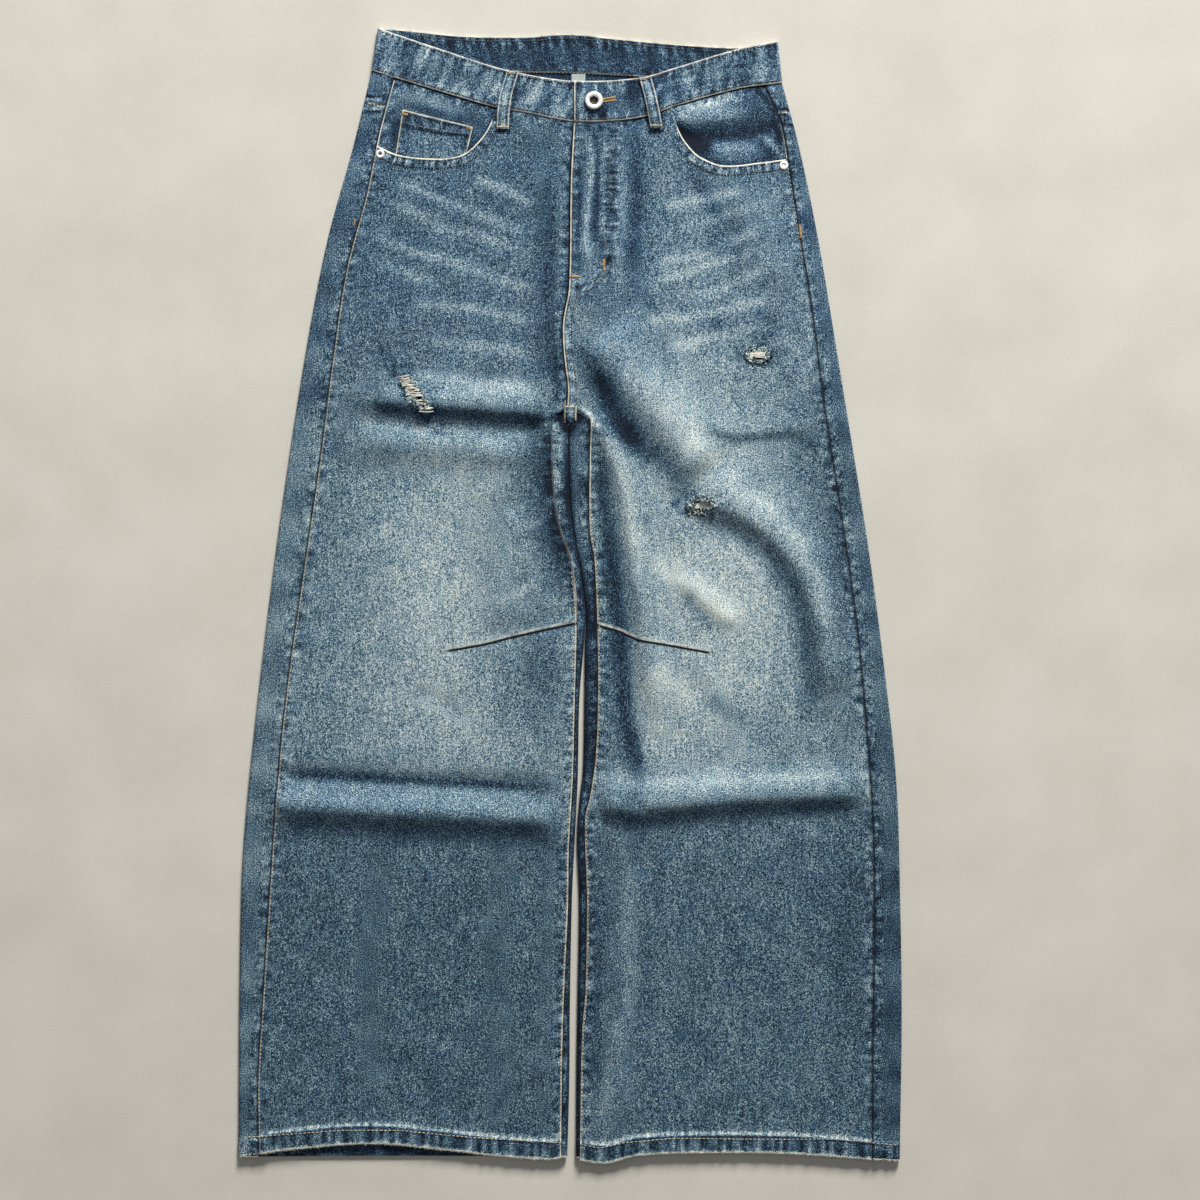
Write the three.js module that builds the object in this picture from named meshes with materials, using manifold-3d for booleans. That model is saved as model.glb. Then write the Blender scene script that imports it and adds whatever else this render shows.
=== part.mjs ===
// Wide-leg ripped jeans, laid flat and face up on their back panels.
// Millimetres, +Z up, +Y towards the waist, z = 0 is the surface they lie on.
// Right and left are the wearer's: the right leg lies at negative X, the left leg at positive X.
import * as THREE from "three";
import { mergeVertices } from "three/addons/utils/BufferGeometryUtils.js";
import Module from "manifold-3d";

const wasm = await Module();
wasm.setup();

const RIGHT = -1;
const LEFT = 1;

// ---------------------------------------------------------------- cloth
const GAP = 0.3; // air between neighbouring pieces
const CLOTH = 1.2; // one layer of denim
const HEM_CLOTH = 2.4; // denim turned twice
const HEM_DEPTH = 16;
const HEM_STEP = 2; // the hem's upper edge steps down over this height
const FOLD_RADIUS = 2.2; // where a back panel folds round a leg's edge
const HEM_FOLD_RADIUS = 3;
const ROLL = 34; // a leg's top layer rolls off towards its edges over this width
const MERGE = 1e-4; // corners nearer than this are one
const THROUGH = [-1, 40]; // heights of a cutter that goes right through
const LEG_LOFT = 5; // height of the top layer over the legs
const HIP_LOFT = 6; // and over the hips, where more lies inside
const FLY_LIFT = 2.6; // the left front rides this much higher over the fly
const FLY_WIDTH = 38;
const FLY_SLOPE = 40;
const FLY_END_Y = 291; // the fly opens down to here
const RISE_FOOT_Y = 178; // below this the fronts curve away from each other
const CROTCH_Y = 160;
const FAR_X = 300; // well out to the side, for reading a line's end

// ---------------------------------------------------------------- outlines, as [y, x] from hem to waist
const OUTER_EDGE = {
  [RIGHT]: [[-528, -312.3], [-342, -310.8], [-236, -307.5], [-116, -296.2], [54, -275.5], [224, -250],
    [337, -228.3], [426, -203.8], [496, -186.8]],
  [LEFT]: [[-532, 310.8], [-399, 312.7], [-286, 311.3], [-172, 307.5], [-59, 295.3], [54, 280.2],
    [224, 252.8], [337, 234], [424, 216], [484, 200]],
};
const OUTSEAM = {
  [RIGHT]: [[-527, -292.5], [-456, -293.5], [-380, -289], [-286, -283], [-191, -276.4], [-97, -267.5],
    [-3, -254.5], [129, -235], [219, -223.5], [308, -210], [380, -191], [439, -179], [487, -166]],
  [LEFT]: [[-527, 284.5], [-437, 284.8], [-286, 286.5], [-206, 284.9], [-98, 276.8], [-22, 269.2],
    [72, 256.2], [177, 239.6], [267, 228], [352, 214.5], [393, 208], [447, 199], [479, 184.5]],
};
const INNER_EDGE = {
  [RIGHT]: [[-530, -2.5], [-454, -0.5], [-387, 0], [-286, 1.9], [-238, 4.2], [-168, 7.5], [-97, 9],
    [-37, 13.5], [-16, 14.6], [16, 10.4], [43, 5.9], [71, 1.5], [107, -1.2], [CROTCH_Y, -2.2]],
  [LEFT]: [[-530, 5.6], [-437, 6.2], [-387, 7], [-286, 8.5], [-227, 6.6], [-190, 9], [-162, 12.3],
    [-97, 14.2], [-37, 15.3], [-16, 15.6], [16, 11.4], [43, 6.9], [71, 2.5], [107, -0.2], [CROTCH_Y, -1.2]],
};
const INSEAM = {
  [RIGHT]: [[-505, -8.1], [-404, -6.6], [-286, -1.6], [-238, -1], [-168, 2.8], [-97, 4.6], [-24, 6.3],
    [8, 4.5], [38, 0], [62, -8.5], [89, -13.9], [CROTCH_Y, -17.5]],
  [LEFT]: [[-505, 9.5], [-412, 11.3], [-370, 14.6], [-286, 16], [-209, 14.2], [-188, 18.9], [-151, 24.2],
    [-97, 26.4], [-28, 25.8], [35, 23.1], [62, 18.9], [125, 18.6], [CROTCH_Y, 19.5]],
};
const RISE_SEAM = [[178, -5.7], [200, -2.5], [235, -6.6], [262, -6], [FLY_END_Y, -0.9], [392, 0.9], [448, 3.8]];

// ---------------------------------------------------------------- outlines, as [x, y] across the body
const FRONT_BAND_SEAM = [[-187, 496.2], [-130, 478.7], [-70, 461.3], [-44, 457], [3.8, 448], [43, 448.4],
  [72, 452.8], [101, 463], [158, 478.7], [200, 484.4]];
const FRONT_BAND_TOP = [[-181, 536], [-122, 516], [-59, 496.2], [3.8, 486], [66, 488.7], [101, 499],
  [158, 516], [196, 523.6]];
const BACK_BAND_SEAM = [[-187, 496.2], [0, 494], [200, 484.4]]; // straight to the centre back
const BACK_BAND_TOP = [[-181, 536], [-162, 535], [-102, 529], [-44, 528], [0, 530.7], [43, 526.4],
  [101, 521], [167, 518], [196, 523.6]];
const HEM = {
  [RIGHT]: [[-312, -527.4], [-258, -520], [-186, -515], [-126, -520], [-77, -525.5], [-20, -530], [-3, -527.4]],
  [LEFT]: [[6, -530], [34, -533.5], [62, -526.4], [121, -523.6], [207, -524.5], [272, -529], [311, -532]],
};
const BACK_HEM = {
  [RIGHT]: [[-312, -527.4], [-160, -526.5], [-3, -527.4]],
  [LEFT]: [[6, -528], [150, -522], [311, -531]],
};
const YOKE_SIDE_Y = { [RIGHT]: 466, [LEFT]: 457.5 };
const YOKE_CENTRE_Y = 418;
const SEAT_HALF = 190; // side to centre, across the seat

// ---------------------------------------------------------------- pockets, as [x, y] from side to centre
const SCOOP = {
  [RIGHT]: [[-183, 425.5], [-160.4, 416], [-122.6, 412.7], [-103.8, 415.6], [-94.3, 420.8], [-84.9, 430.2],
    [-77.4, 440.6], [-69, 459.4]],
  [LEFT]: [[202.8, 412.3], [179.2, 409], [143.4, 406.1], [122.6, 414.2], [115, 420.8], [105.7, 433],
    [100, 445.3], [96.2, 456.6]],
};
const FACING_DEPTH = 22; // how far a facing runs under the front below the scoop
const FACING_UNDERLAP = 12; // and beside its inner end
const POCKET_SINK = { x: 128, y: 436, depth: 0.8, width: 28, height: 12 }; // hollow in the left facing
const COIN_TOP = [[-157.5, 459], [-91.5, 442.5]];
const COIN_FOOT_X = [-164, -97];
const SEAT_POCKET = [[48, 398], [178, 398], [172, 266], [116, 249], [60, 266]]; // mirrored for the right
const SEAT_POCKET_CLOTH = 1;
const RECESS_EDGES = [38, 45, 181, 188]; // the seat lifts over its pocket between these distances
const RECESS_LOW = 240;
const RECESS_HIGH = 404;

// ---------------------------------------------------------------- hardware, loops and hidden parts
const BAND_CLOTH = 2.5; // waistband, doubled and stiffened
const BAND_HEIGHT = 6.3; // top of the band over itself
const BAND_LAP = 2.8; // its left end lies this much higher, over its right end
const LAP_FLAT = 48;
const LAP_SLOPE = 60;
const LAP_XS = [4.1, 15, 26, 37, 48, 60, 72, 84, 96, 108, 122, 136, 150, 165, 182];
const BACK_BAND_XS = [170, 135, 101, 60, 25, 0, -25, -60, -102, -135, -162];
const UNDERLAP_XS = [-158, -130, -110, -90, -75, -60, -48, -36, -20, -8, 4, 24, 44];
const BUTTON = { x: 22.6, y: 469.2, outer: 8.6, inner: 4.6, height: 3.2 };
const RIVETS = { [RIGHT]: [-178.6, 418.4], [LEFT]: [201.4, 407.6] };
const RIVET_RADIUS = 4.3;
const LOOP_WIDTH = 11.5;
const LOOP_CLOTH = 1.6;
const BACK_LOOP_CLOTH = 1.2;
const FRONT_LOOPS = {
  [RIGHT]: [[-63.2, 440.6], [-62.8, 455], [-60.5, 472], [-53.6, 495.2]],
  [LEFT]: [[81.6, 441.5], [79, 455], [75.5, 472], [70.8, 489]],
};
const BACK_LOOP_X = { belt_loop_back_right: -105, belt_loop_back_centre: 0, belt_loop_back_left: 105 };
const LABEL = { x: 3, width: 20, bottom: 481, top: 492, cloth: 1 };
const SHIELD = { left: -14, right: 36, bottom: 294, top: 446, round: 18, low: 1.6 };
const ZIP = { x: 10, bottom: 299, top: 445, tape: 30, chain: 6, low: 3.1 };

// Rips: centre, length, width and turn of each hole, in millimetres and degrees.
const RIPS = [
  { side: RIGHT, x: -146, y: 189, length: 36, width: 9, turn: -49 },
  { side: LEFT, x: 178.3, y: 226.4, length: 20, width: 11, turn: 0 },
  { side: LEFT, x: 123.6, y: 88.7, length: 22, width: 12, turn: 0 },
];

// The largest folds: ridges (rise > 0) and troughs (rise < 0) that fade out over their reach.
const FOLDS = [
  { rise: 2, reach: 16, path: [[-190, 186], [-100, 186], [-20, 184]] },
  { rise: -2, reach: 9, path: [[-205, 172], [-94, 168], [-20, 168]] },
  { rise: 2.4, reach: 16, path: [[-205, 153], [-100, 150], [-25, 148]] },
  { rise: -1.6, reach: 10, path: [[-270, -172], [-150, -178], [-20, -180]] },
  { rise: 4, reach: 15, path: [[-270, -196], [-150, -203], [-20, -206]] },
  { rise: 4.5, reach: 15, path: [[35, -190], [150, -188], [270, -188]] },
  { rise: -2.4, reach: 12, path: [[10, 236], [52, 176], [104, 115], [125, 90]] },
  { rise: 4.5, reach: 20, path: [[22, 240], [85, 196], [130, 150], [208, 66], [248, -10]] },
  { rise: -2, reach: 14, path: [[115, 78], [160, 68], [205, 18], [226, -60]] },
  { rise: 4.5, reach: 16, path: [[24, 186], [40, 130], [55, 75], [72, 20]] },
  { rise: -2, reach: 10, path: [[30, 100], [42, 20], [54, -80], [70, -150]] },
  { rise: 3, reach: 20, path: [[72, 32], [120, 5], [179, -31]] },
];

// ---------------------------------------------------------------- rows and columns of the panels
const LEG_ROWS = [-470, -400, -330, -265, -235, -217, -203, -190, -178, -162, -130, -95, -60, -30, 0, 30, 60,
  90, 115, 138, CROTCH_Y, 172, 188, 210, 228, RECESS_LOW, 270, 305, 340, 375];
const SEAT_ROWS = [RECESS_HIGH, 412];
const FRONT_COLUMNS = 14;
const FACING_COLUMNS = 8;
const COIN_COLUMNS = 10;
const LEG_SHARES = [0.15, 0.2, 0.8, 0.85]; // across a leg's underside, outer to inner edge
const YOKE_SHARES = [0.8, 0.55, 0.3, 0.12]; // of the way from the centre to the outer edge
const FOLD_TURNS = [90, 150, 210, 270]; // degrees round a folded edge, top to floor side

const COLOURS = {
  denim: 0x5f7d97,
  darkDenim: 0x2c4466,
  facing: 0x7593a8,
  tape: 0x2b3446,
  label: 0xe6e4dc,
  steel: 0xc9ccd0,
  shadow: 0x3a3733,
};

// ---------------------------------------------------------------- small mathematics
const clamp01 = (t) => Math.min(Math.max(t, 0), 1);
const mix = (a, b, t) => a + (b - a) * t;
const smooth = (t) => clamp01(t) ** 2 * (3 - 2 * clamp01(t));

// A smooth line through points [t, value]: a cubic between neighbours, with averaged slopes.
// Beyond its ends it stays level.
function smoothLine(points) {
  const last = points.length - 1;
  const slope = (i) => {
    const before = points[Math.max(i - 1, 0)];
    const after = points[Math.min(i + 1, last)];
    return (after[1] - before[1]) / (after[0] - before[0]);
  };
  return (t) => {
    const beyond = points.findIndex((p) => p[0] > t);
    const k = beyond < 0 ? last - 1 : Math.max(beyond - 1, 0);
    const [from, to] = [points[k], points[k + 1]];
    const span = to[0] - from[0];
    const s = clamp01((t - from[0]) / span);
    const leaving = (1 - s) ** 2 * ((1 + 2 * s) * from[1] + s * span * slope(k));
    const arriving = s ** 2 * ((3 - 2 * s) * to[1] + (s - 1) * span * slope(k + 1));
    return leaving + arriving;
  };
}

// Straight lines between points [t, value], level beyond the ends.
function straightLine(points) {
  return (t) => {
    const beyond = points.findIndex((p) => p[0] > t);
    const k = beyond < 0 ? points.length - 2 : Math.max(beyond - 1, 0);
    const [from, to] = [points[k], points[k + 1]];
    return mix(from[1], to[1], clamp01((t - from[0]) / (to[0] - from[0])));
  };
}

const bySide = (outlines) => ({ [RIGHT]: smoothLine(outlines[RIGHT]), [LEFT]: smoothLine(outlines[LEFT]) });
const outerEdge = bySide(OUTER_EDGE);
const outseam = bySide(OUTSEAM);
const innerEdge = bySide(INNER_EDGE);
const inseam = bySide(INSEAM);
const frontHem = bySide(HEM);
const backHem = bySide(BACK_HEM);
const riseSeam = smoothLine(RISE_SEAM);
const frontBandSeam = smoothLine(FRONT_BAND_SEAM);
const frontBandTop = smoothLine(FRONT_BAND_TOP);
const backBandSeam = straightLine(BACK_BAND_SEAM);
const backBandTop = smoothLine(BACK_BAND_TOP);
const scoop = {
  [RIGHT]: smoothLine(SCOOP[RIGHT]),
  [LEFT]: smoothLine([...SCOOP[LEFT]].reverse()),
};

// Distance from a point to a path, and how far along the path (0 to 1) its nearest point is.
function nearest(path, x, y) {
  let best = { distance: Infinity, along: 0 };
  for (let i = 0; i < path.length - 1; i += 1) {
    const [ax, ay] = path[i];
    const [bx, by] = path[i + 1];
    const share = clamp01(((x - ax) * (bx - ax) + (y - ay) * (by - ay)) / ((bx - ax) ** 2 + (by - ay) ** 2));
    const distance = Math.hypot(x - mix(ax, bx, share), y - mix(ay, by, share));
    if (distance < best.distance) best = { distance, along: (i + share) / (path.length - 1) };
  }
  return best;
}

function foldHeight(x, y) {
  let height = 0;
  for (const { rise, reach, path } of FOLDS) {
    const { distance, along } = nearest(path, x, y);
    const fade = smooth(along / 0.15 + 0.3) * smooth((1 - along) / 0.15 + 0.3);
    height += rise * fade * Math.exp(-((distance / reach) ** 2));
  }
  return height;
}

// ---------------------------------------------------------------- heights
const clothOf = (inHem) => (inHem ? HEM_CLOTH : CLOTH);
const foldRadius = (inHem) => (inHem ? HEM_FOLD_RADIUS : FOLD_RADIUS);

// How much the left front is lifted by the fly beneath it, at (x, y).
function flyLift(x, y) {
  const across = smooth(1 - (x - FLY_WIDTH) / FLY_SLOPE);
  return FLY_LIFT * across * smooth((y - FLY_END_Y) / FLY_SLOPE + 1);
}

// Top of the upper layer of a leg: rolled off at its edges, plump between them, with its folds.
function topHeight(side, x, y, inHem) {
  const edge = 2 * FOLD_RADIUS;
  const fromOuter = smooth((Math.abs(x - outerEdge[side](y)) - FOLD_RADIUS) / ROLL);
  const fromInner = smooth((Math.abs(x - innerEdge[side](y)) - FOLD_RADIUS) / ROLL);
  const hips = smooth((y - CROTCH_Y) / 50);
  const roll = Math.min(fromOuter, Math.max(hips, fromInner));
  const loft = mix(LEG_LOFT, HIP_LOFT, smooth((y - 100) / 120)) + foldHeight(x, y);
  const hemRise = inHem ? 2 * (HEM_FOLD_RADIUS - FOLD_RADIUS) : 0;
  return mix(edge, loft, roll) + hemRise + (side === LEFT ? flyLift(x, y) : 0);
}

// How far a back panel's underside leaves the floor, over the patch pocket on the seat.
function seatLift(x, y) {
  const [nearFoot, near, far, farFoot] = RECESS_EDGES;
  const slope = near - nearFoot;
  const insideX = Math.min(Math.abs(x) - nearFoot, farFoot - Math.abs(x)) / slope;
  const insideY = Math.min(y - RECESS_LOW, RECESS_HIGH - y) / slope + 1;
  return (SEAT_POCKET_CLOTH + GAP) * clamp01(Math.min(insideX, insideY));
}

// ---------------------------------------------------------------- solids
function named(name, geometry, finish) {
  const metal = finish === "steel";
  const settings = { color: COLOURS[finish], roughness: metal ? 0.3 : 0.9, metalness: metal ? 1 : 0 };
  const mesh = new THREE.Mesh(geometry, new THREE.MeshStandardMaterial(settings));
  mesh.name = name;
  return mesh;
}

// A closed wall between two grids of points, its face side and its inner side, with its rims.
// The face looks towards (next column) x (next row). keep(row, column) says which cells are cloth.
function wall(face, inner, keep) {
  const rows = face.length - 1;
  const columns = face[0].length - 1;
  const isCloth = (r, c) => r >= 0 && c >= 0 && r < rows && c < columns && keep(r, c);
  const corners = [];
  const quad = (a, b, c, d) => corners.push(a, b, c, a, c, d);
  for (let r = 0; r < rows; r += 1) {
    for (let c = 0; c < columns; c += 1) {
      if (!isCloth(r, c)) continue;
      const [a, b, d, e] = [face[r][c], face[r][c + 1], face[r + 1][c + 1], face[r + 1][c]];
      const [f, g, h, i] = [inner[r][c], inner[r][c + 1], inner[r + 1][c + 1], inner[r + 1][c]];
      quad(a, b, d, e);
      quad(f, i, h, g);
      if (!isCloth(r - 1, c)) quad(b, a, f, g);
      if (!isCloth(r + 1, c)) quad(e, d, h, i);
      if (!isCloth(r, c - 1)) quad(a, e, i, f);
      if (!isCloth(r, c + 1)) quad(d, b, g, h);
    }
  }
  return mergeVertices(new THREE.BufferGeometry().setFromPoints(corners), MERGE);
}

// A wall from rows of { point, normal } on its face side; its inner side lies one thickness behind.
function sheet(rows, thicknessOf, keep = () => true) {
  const face = rows.map((row) => row.map(({ point }) => point));
  const inner = rows.map((row, r) =>
    row.map(({ point, normal }) => point.clone().addScaledVector(normal, -thicknessOf(r))));
  return wall(face, inner, keep);
}

const facingUp = (x, y, z) => ({ point: new THREE.Vector3(x, y, z), normal: new THREE.Vector3(0, 0, 1) });
const facingDown = (x, y, z) => ({ point: new THREE.Vector3(x, y, z), normal: new THREE.Vector3(0, 0, -1) });

// A point of a half round: angle 90 is on top, 180 at the edge and 270 on the floor side.
function turned(edgeX, y, inward, radius, angle) {
  const a = THREE.MathUtils.degToRad(angle);
  const normal = new THREE.Vector3(inward * Math.cos(a), 0, Math.sin(a));
  return { point: new THREE.Vector3(edgeX + inward * radius, y, radius).addScaledVector(normal, radius), normal };
}

function solidOf(geometry) {
  const bare = geometry.clone();
  bare.deleteAttribute("normal");
  bare.deleteAttribute("uv");
  const merged = mergeVertices(bare, MERGE);
  const vertProperties = new Float32Array(merged.attributes.position.array);
  const triVerts = new Uint32Array(merged.index.array);
  return new wasm.Manifold(new wasm.Mesh({ numProp: 3, vertProperties, triVerts }));
}

function geometryOf(solid) {
  const { vertProperties, triVerts } = solid.getMesh();
  const geometry = new THREE.BufferGeometry();
  geometry.setAttribute("position", new THREE.BufferAttribute(vertProperties, 3));
  geometry.setIndex(new THREE.BufferAttribute(triVerts, 1));
  return geometry;
}

const cut = (geometry, cutters) =>
  geometryOf(cutters.reduce((solid, cutter) => solid.subtract(solidOf(cutter)), solidOf(geometry)));

const join = (geometry, other) => geometryOf(solidOf(geometry).add(solidOf(other)));

const outlineShape = (points) => new THREE.Shape(points.map(([x, y]) => new THREE.Vector2(x, y)));

// A flat plate of the given shape between two heights.
function plate(shape, low, high) {
  const options = { depth: high - low, bevelEnabled: false, curveSegments: 5 };
  return new THREE.ExtrudeGeometry(shape, options).translate(0, 0, low);
}

const box = (x, y, low, width, length, height) =>
  new THREE.BoxGeometry(width, length, height).translate(x, y, low + height / 2);

// ---------------------------------------------------------------- rows across a leg
// Each row knows its own y at any x, its nominal level, and whether it is in the turned hem.
const levelRow = (level) => ({ y: () => level, level, hem: false });

function legRows(hemLine) {
  const hemRow = (rise, isHem) => ({ y: (x) => hemLine(x) + rise, level: -Infinity, hem: isHem });
  return [
    hemRow(0, true),
    hemRow(HEM_DEPTH, true),
    hemRow(HEM_DEPTH + HEM_STEP, false),
    ...LEG_ROWS.map(levelRow),
  ];
}

// Rows that ease from one line across the body to another.
const easedRows = (lowLine, highLine, shares) =>
  shares.map((share) => ({ y: (x) => mix(lowLine(x), highLine(x), share), level: Infinity, hem: false }));

// ---------------------------------------------------------------- front legs
// Where a front ends towards the middle: fly and rise seam, crotch curve, then the inseam.
function frontInnerX(side, y) {
  if (y <= CROTCH_Y) return inseam[side](y) + (side * GAP) / 2;
  const turn = smooth((y - CROTCH_Y) / (RISE_FOOT_Y - CROTCH_Y));
  return mix(inseam[side](CROTCH_Y), riseSeam(y), turn) + (side * GAP) / 2;
}

const frontOuterX = (side, y) => outseam[side](y) - (side * GAP) / 2;
const belowFrontBand = (x) => frontBandSeam(x) - GAP;

// A point of a front, a share of the way from its left edge to its right edge along a row.
function frontPoint(side, row, share) {
  const fromOuter = side === RIGHT ? share : 1 - share;
  let x = mix(frontOuterX(side, row.y(side * SEAT_HALF)), frontInnerX(side, row.y(0)), fromOuter);
  for (let i = 0; i < 4; i += 1) {
    x = mix(frontOuterX(side, row.y(x)), frontInnerX(side, row.y(x)), fromOuter);
  }
  return facingUp(x, row.y(x), topHeight(side, x, row.y(x), row.hem));
}

function frontPanel(side) {
  const topRows = easedRows(() => LEG_ROWS.at(-1), belowFrontBand, [1 / 3, 2 / 3, 1]);
  const rows = [...legRows(frontHem[side]), ...topRows];
  const grid = rows.map((row) =>
    Array.from({ length: FRONT_COLUMNS + 1 }, (_, c) => frontPoint(side, row, c / FRONT_COLUMNS)));
  return sheet(grid, (r) => clothOf(rows[r].hem));
}

// The opening of a hip pocket, from the side seam to the band, halfway points included.
function scoopPoints(side) {
  const knots = SCOOP[side].map(([x]) => x);
  const xs = knots.flatMap((x, i) => (i === 0 ? [x] : [(x + knots[i - 1]) / 2, x]));
  return xs.map((x) => [x, scoop[side](x)]);
}

// Everything of a front above the opening of its hip pocket.
function scoopCutter(side) {
  const opening = scoopPoints(side);
  const [[sideX, sideY], [innerX]] = [opening[0], opening.at(-1)];
  const [beyondX, beyondY] = [sideX + side * 30, 520];
  return plate(outlineShape([[beyondX, sideY], ...opening, [innerX, beyondY], [beyondX, beyondY]]), ...THROUGH);
}

function ripCutter({ x, y, length, width, turn }) {
  const hole = new THREE.Shape().absellipse(0, 0, length / 2, width / 2, 0, 2 * Math.PI);
  return plate(hole, ...THROUGH).rotateZ(THREE.MathUtils.degToRad(turn)).translate(x, y, 0);
}

function front(side) {
  const rips = RIPS.filter((rip) => rip.side === side);
  return cut(frontPanel(side), [scoopCutter(side), ...rips.map(ripCutter)]);
}

// ---------------------------------------------------------------- back legs and yokes
// One row of a back piece: from the side seam on top, round the outer edge, across the underside
// and, below the crotch, round the inner edge and up to the inseam on top.
function backRing(side, row, underXs) {
  const radius = foldRadius(row.hem);
  const overY = row.overY ?? row.y;
  const outerY = row.y(side * FAR_X);
  const innerY = row.y(side);
  const outerX = outerEdge[side](outerY);
  const innerX = row.level > CROTCH_Y ? side * (GAP / 2 - radius) : innerEdge[side](innerY);
  const sideX = outseam[side](overY(side * SEAT_HALF)) + (side * GAP) / 2;
  const inseamX = inseam[side](innerY) - (side * GAP) / 2;
  const over = (x) => facingUp(x, overY(x), topHeight(side, x, overY(x), row.hem));
  const under = (x) => facingDown(x, row.y(x), seatLift(x, row.y(x)));
  const ring = [
    over(sideX),
    ...FOLD_TURNS.map((angle) => turned(outerX, outerY, -side, radius, angle)),
    ...underXs(outerX, innerX).map(under),
    ...FOLD_TURNS.toReversed().map((angle) => turned(innerX, innerY, side, radius, angle)),
    over(inseamX),
  ];
  return side === LEFT ? ring : ring.reverse();
}

// A back piece from its rows. Above the crotch it ends at the centre seam, with no inner turn.
function backPiece(side, rows, underXs) {
  const grid = rows.map((row) => backRing(side, row, (outerX, innerX) => underXs(row, outerX, innerX)));
  const innerCells = FOLD_TURNS.length;
  const columns = grid[0].length - 1;
  const isInner = (c) => (side === LEFT ? c >= columns - innerCells : c < innerCells);
  const keep = (r, c) => rows[r + 1].level <= CROTCH_Y || !isInner(c);
  return sheet(grid, (r) => clothOf(rows[r].hem), keep);
}

// The yoke seam: straight from the centre back up to where the yoke turns round the outer edge.
function yokeSeam(side) {
  const turnX = Math.abs(outerEdge[side](YOKE_SIDE_Y[side])) - FOLD_RADIUS;
  return (x) => mix(YOKE_CENTRE_Y, YOKE_SIDE_Y[side], clamp01(Math.abs(x) / turnX));
}

function backPanel(side) {
  const belowYoke = easedRows(() => SEAT_ROWS.at(-1), (x) => yokeSeam(side)(x) - GAP, [0.5, 1]);
  const rows = [...legRows(backHem[side]), ...SEAT_ROWS.map(levelRow), ...belowYoke];
  const seatXs = RECESS_EDGES.toReversed().map((x) => side * x);
  const legXs = (outerX, innerX) => LEG_SHARES.map((share) => mix(outerX, innerX, share));
  return backPiece(side, rows, (row, outerX, innerX) =>
    (row.level > CROTCH_Y ? seatXs : legXs(outerX, innerX)));
}

function yoke(side) {
  const belowBackBand = (x) => backBandSeam(x) - GAP;
  const underRows = easedRows(yokeSeam(side), belowBackBand, [0, 0.5, 1]);
  const overRows = easedRows(yokeSeam(side), belowFrontBand, [0, 0.5, 1]);
  const rows = underRows.map((row, i) => ({ ...row, overY: overRows[i].y }));
  return backPiece(side, rows, (row, outerX) => YOKE_SHARES.map((share) => outerX * share));
}

function seatPocket(side) {
  const outline = SEAT_POCKET.map(([x, y]) => [side * x, y]);
  return plate(outlineShape(outline), 0, SEAT_POCKET_CLOTH);
}

// ---------------------------------------------------------------- hip pockets
// A facing lies under its front; the left one sinks a little in its middle.
function facingHeight(side, x, y) {
  const { x: sinkX, y: sinkY, depth, width, height } = POCKET_SINK;
  const sink = depth * Math.exp(-(((x - sinkX) / width) ** 2 + ((y - sinkY) / height) ** 2));
  return topHeight(side, x, y, false) - CLOTH - GAP - sink;
}

function pocketFacing(side) {
  const innerX = SCOOP[side].at(-1)[0] - side * FACING_UNDERLAP;
  const foot = (x) => scoop[side](x) - FACING_DEPTH;
  const rows = easedRows(foot, belowFrontBand, [0, 0.35, 0.7, 1]);
  const grid = rows.map((row) =>
    Array.from({ length: FACING_COLUMNS + 1 }, (_, c) => {
      const share = side === RIGHT ? c / FACING_COLUMNS : 1 - c / FACING_COLUMNS;
      const y = row.y(mix(side * SEAT_HALF, innerX, share));
      const x = mix(frontOuterX(side, y), innerX, share);
      return facingUp(x, row.y(x), facingHeight(side, x, row.y(x)));
    }));
  return sheet(grid, () => CLOTH);
}

function coinPocket() {
  const [topFrom, topTo] = COIN_TOP;
  const steps = Array.from({ length: COIN_COLUMNS + 1 }, (_, c) => c / COIN_COLUMNS);
  const grid = [0, 0.5, 1].map((rise) =>
    steps.map((share) => {
      const footX = mix(...COIN_FOOT_X, share);
      const x = mix(footX, mix(topFrom[0], topTo[0], share), rise);
      const y = mix(scoop[RIGHT](footX) + 2 * GAP, mix(topFrom[1], topTo[1], share), rise);
      return facingUp(x, y, facingHeight(RIGHT, x, y) + GAP + CLOTH);
    }));
  return sheet(grid, () => CLOTH);
}

// ---------------------------------------------------------------- waistband and its loops
// Top of the band along the front: the left end is carried on top of the right end.
const bandTop = (x) => BAND_HEIGHT + BAND_LAP * (x > 0 ? smooth(1 - (x - LAP_FLAT) / LAP_SLOPE) : 0);

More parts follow.
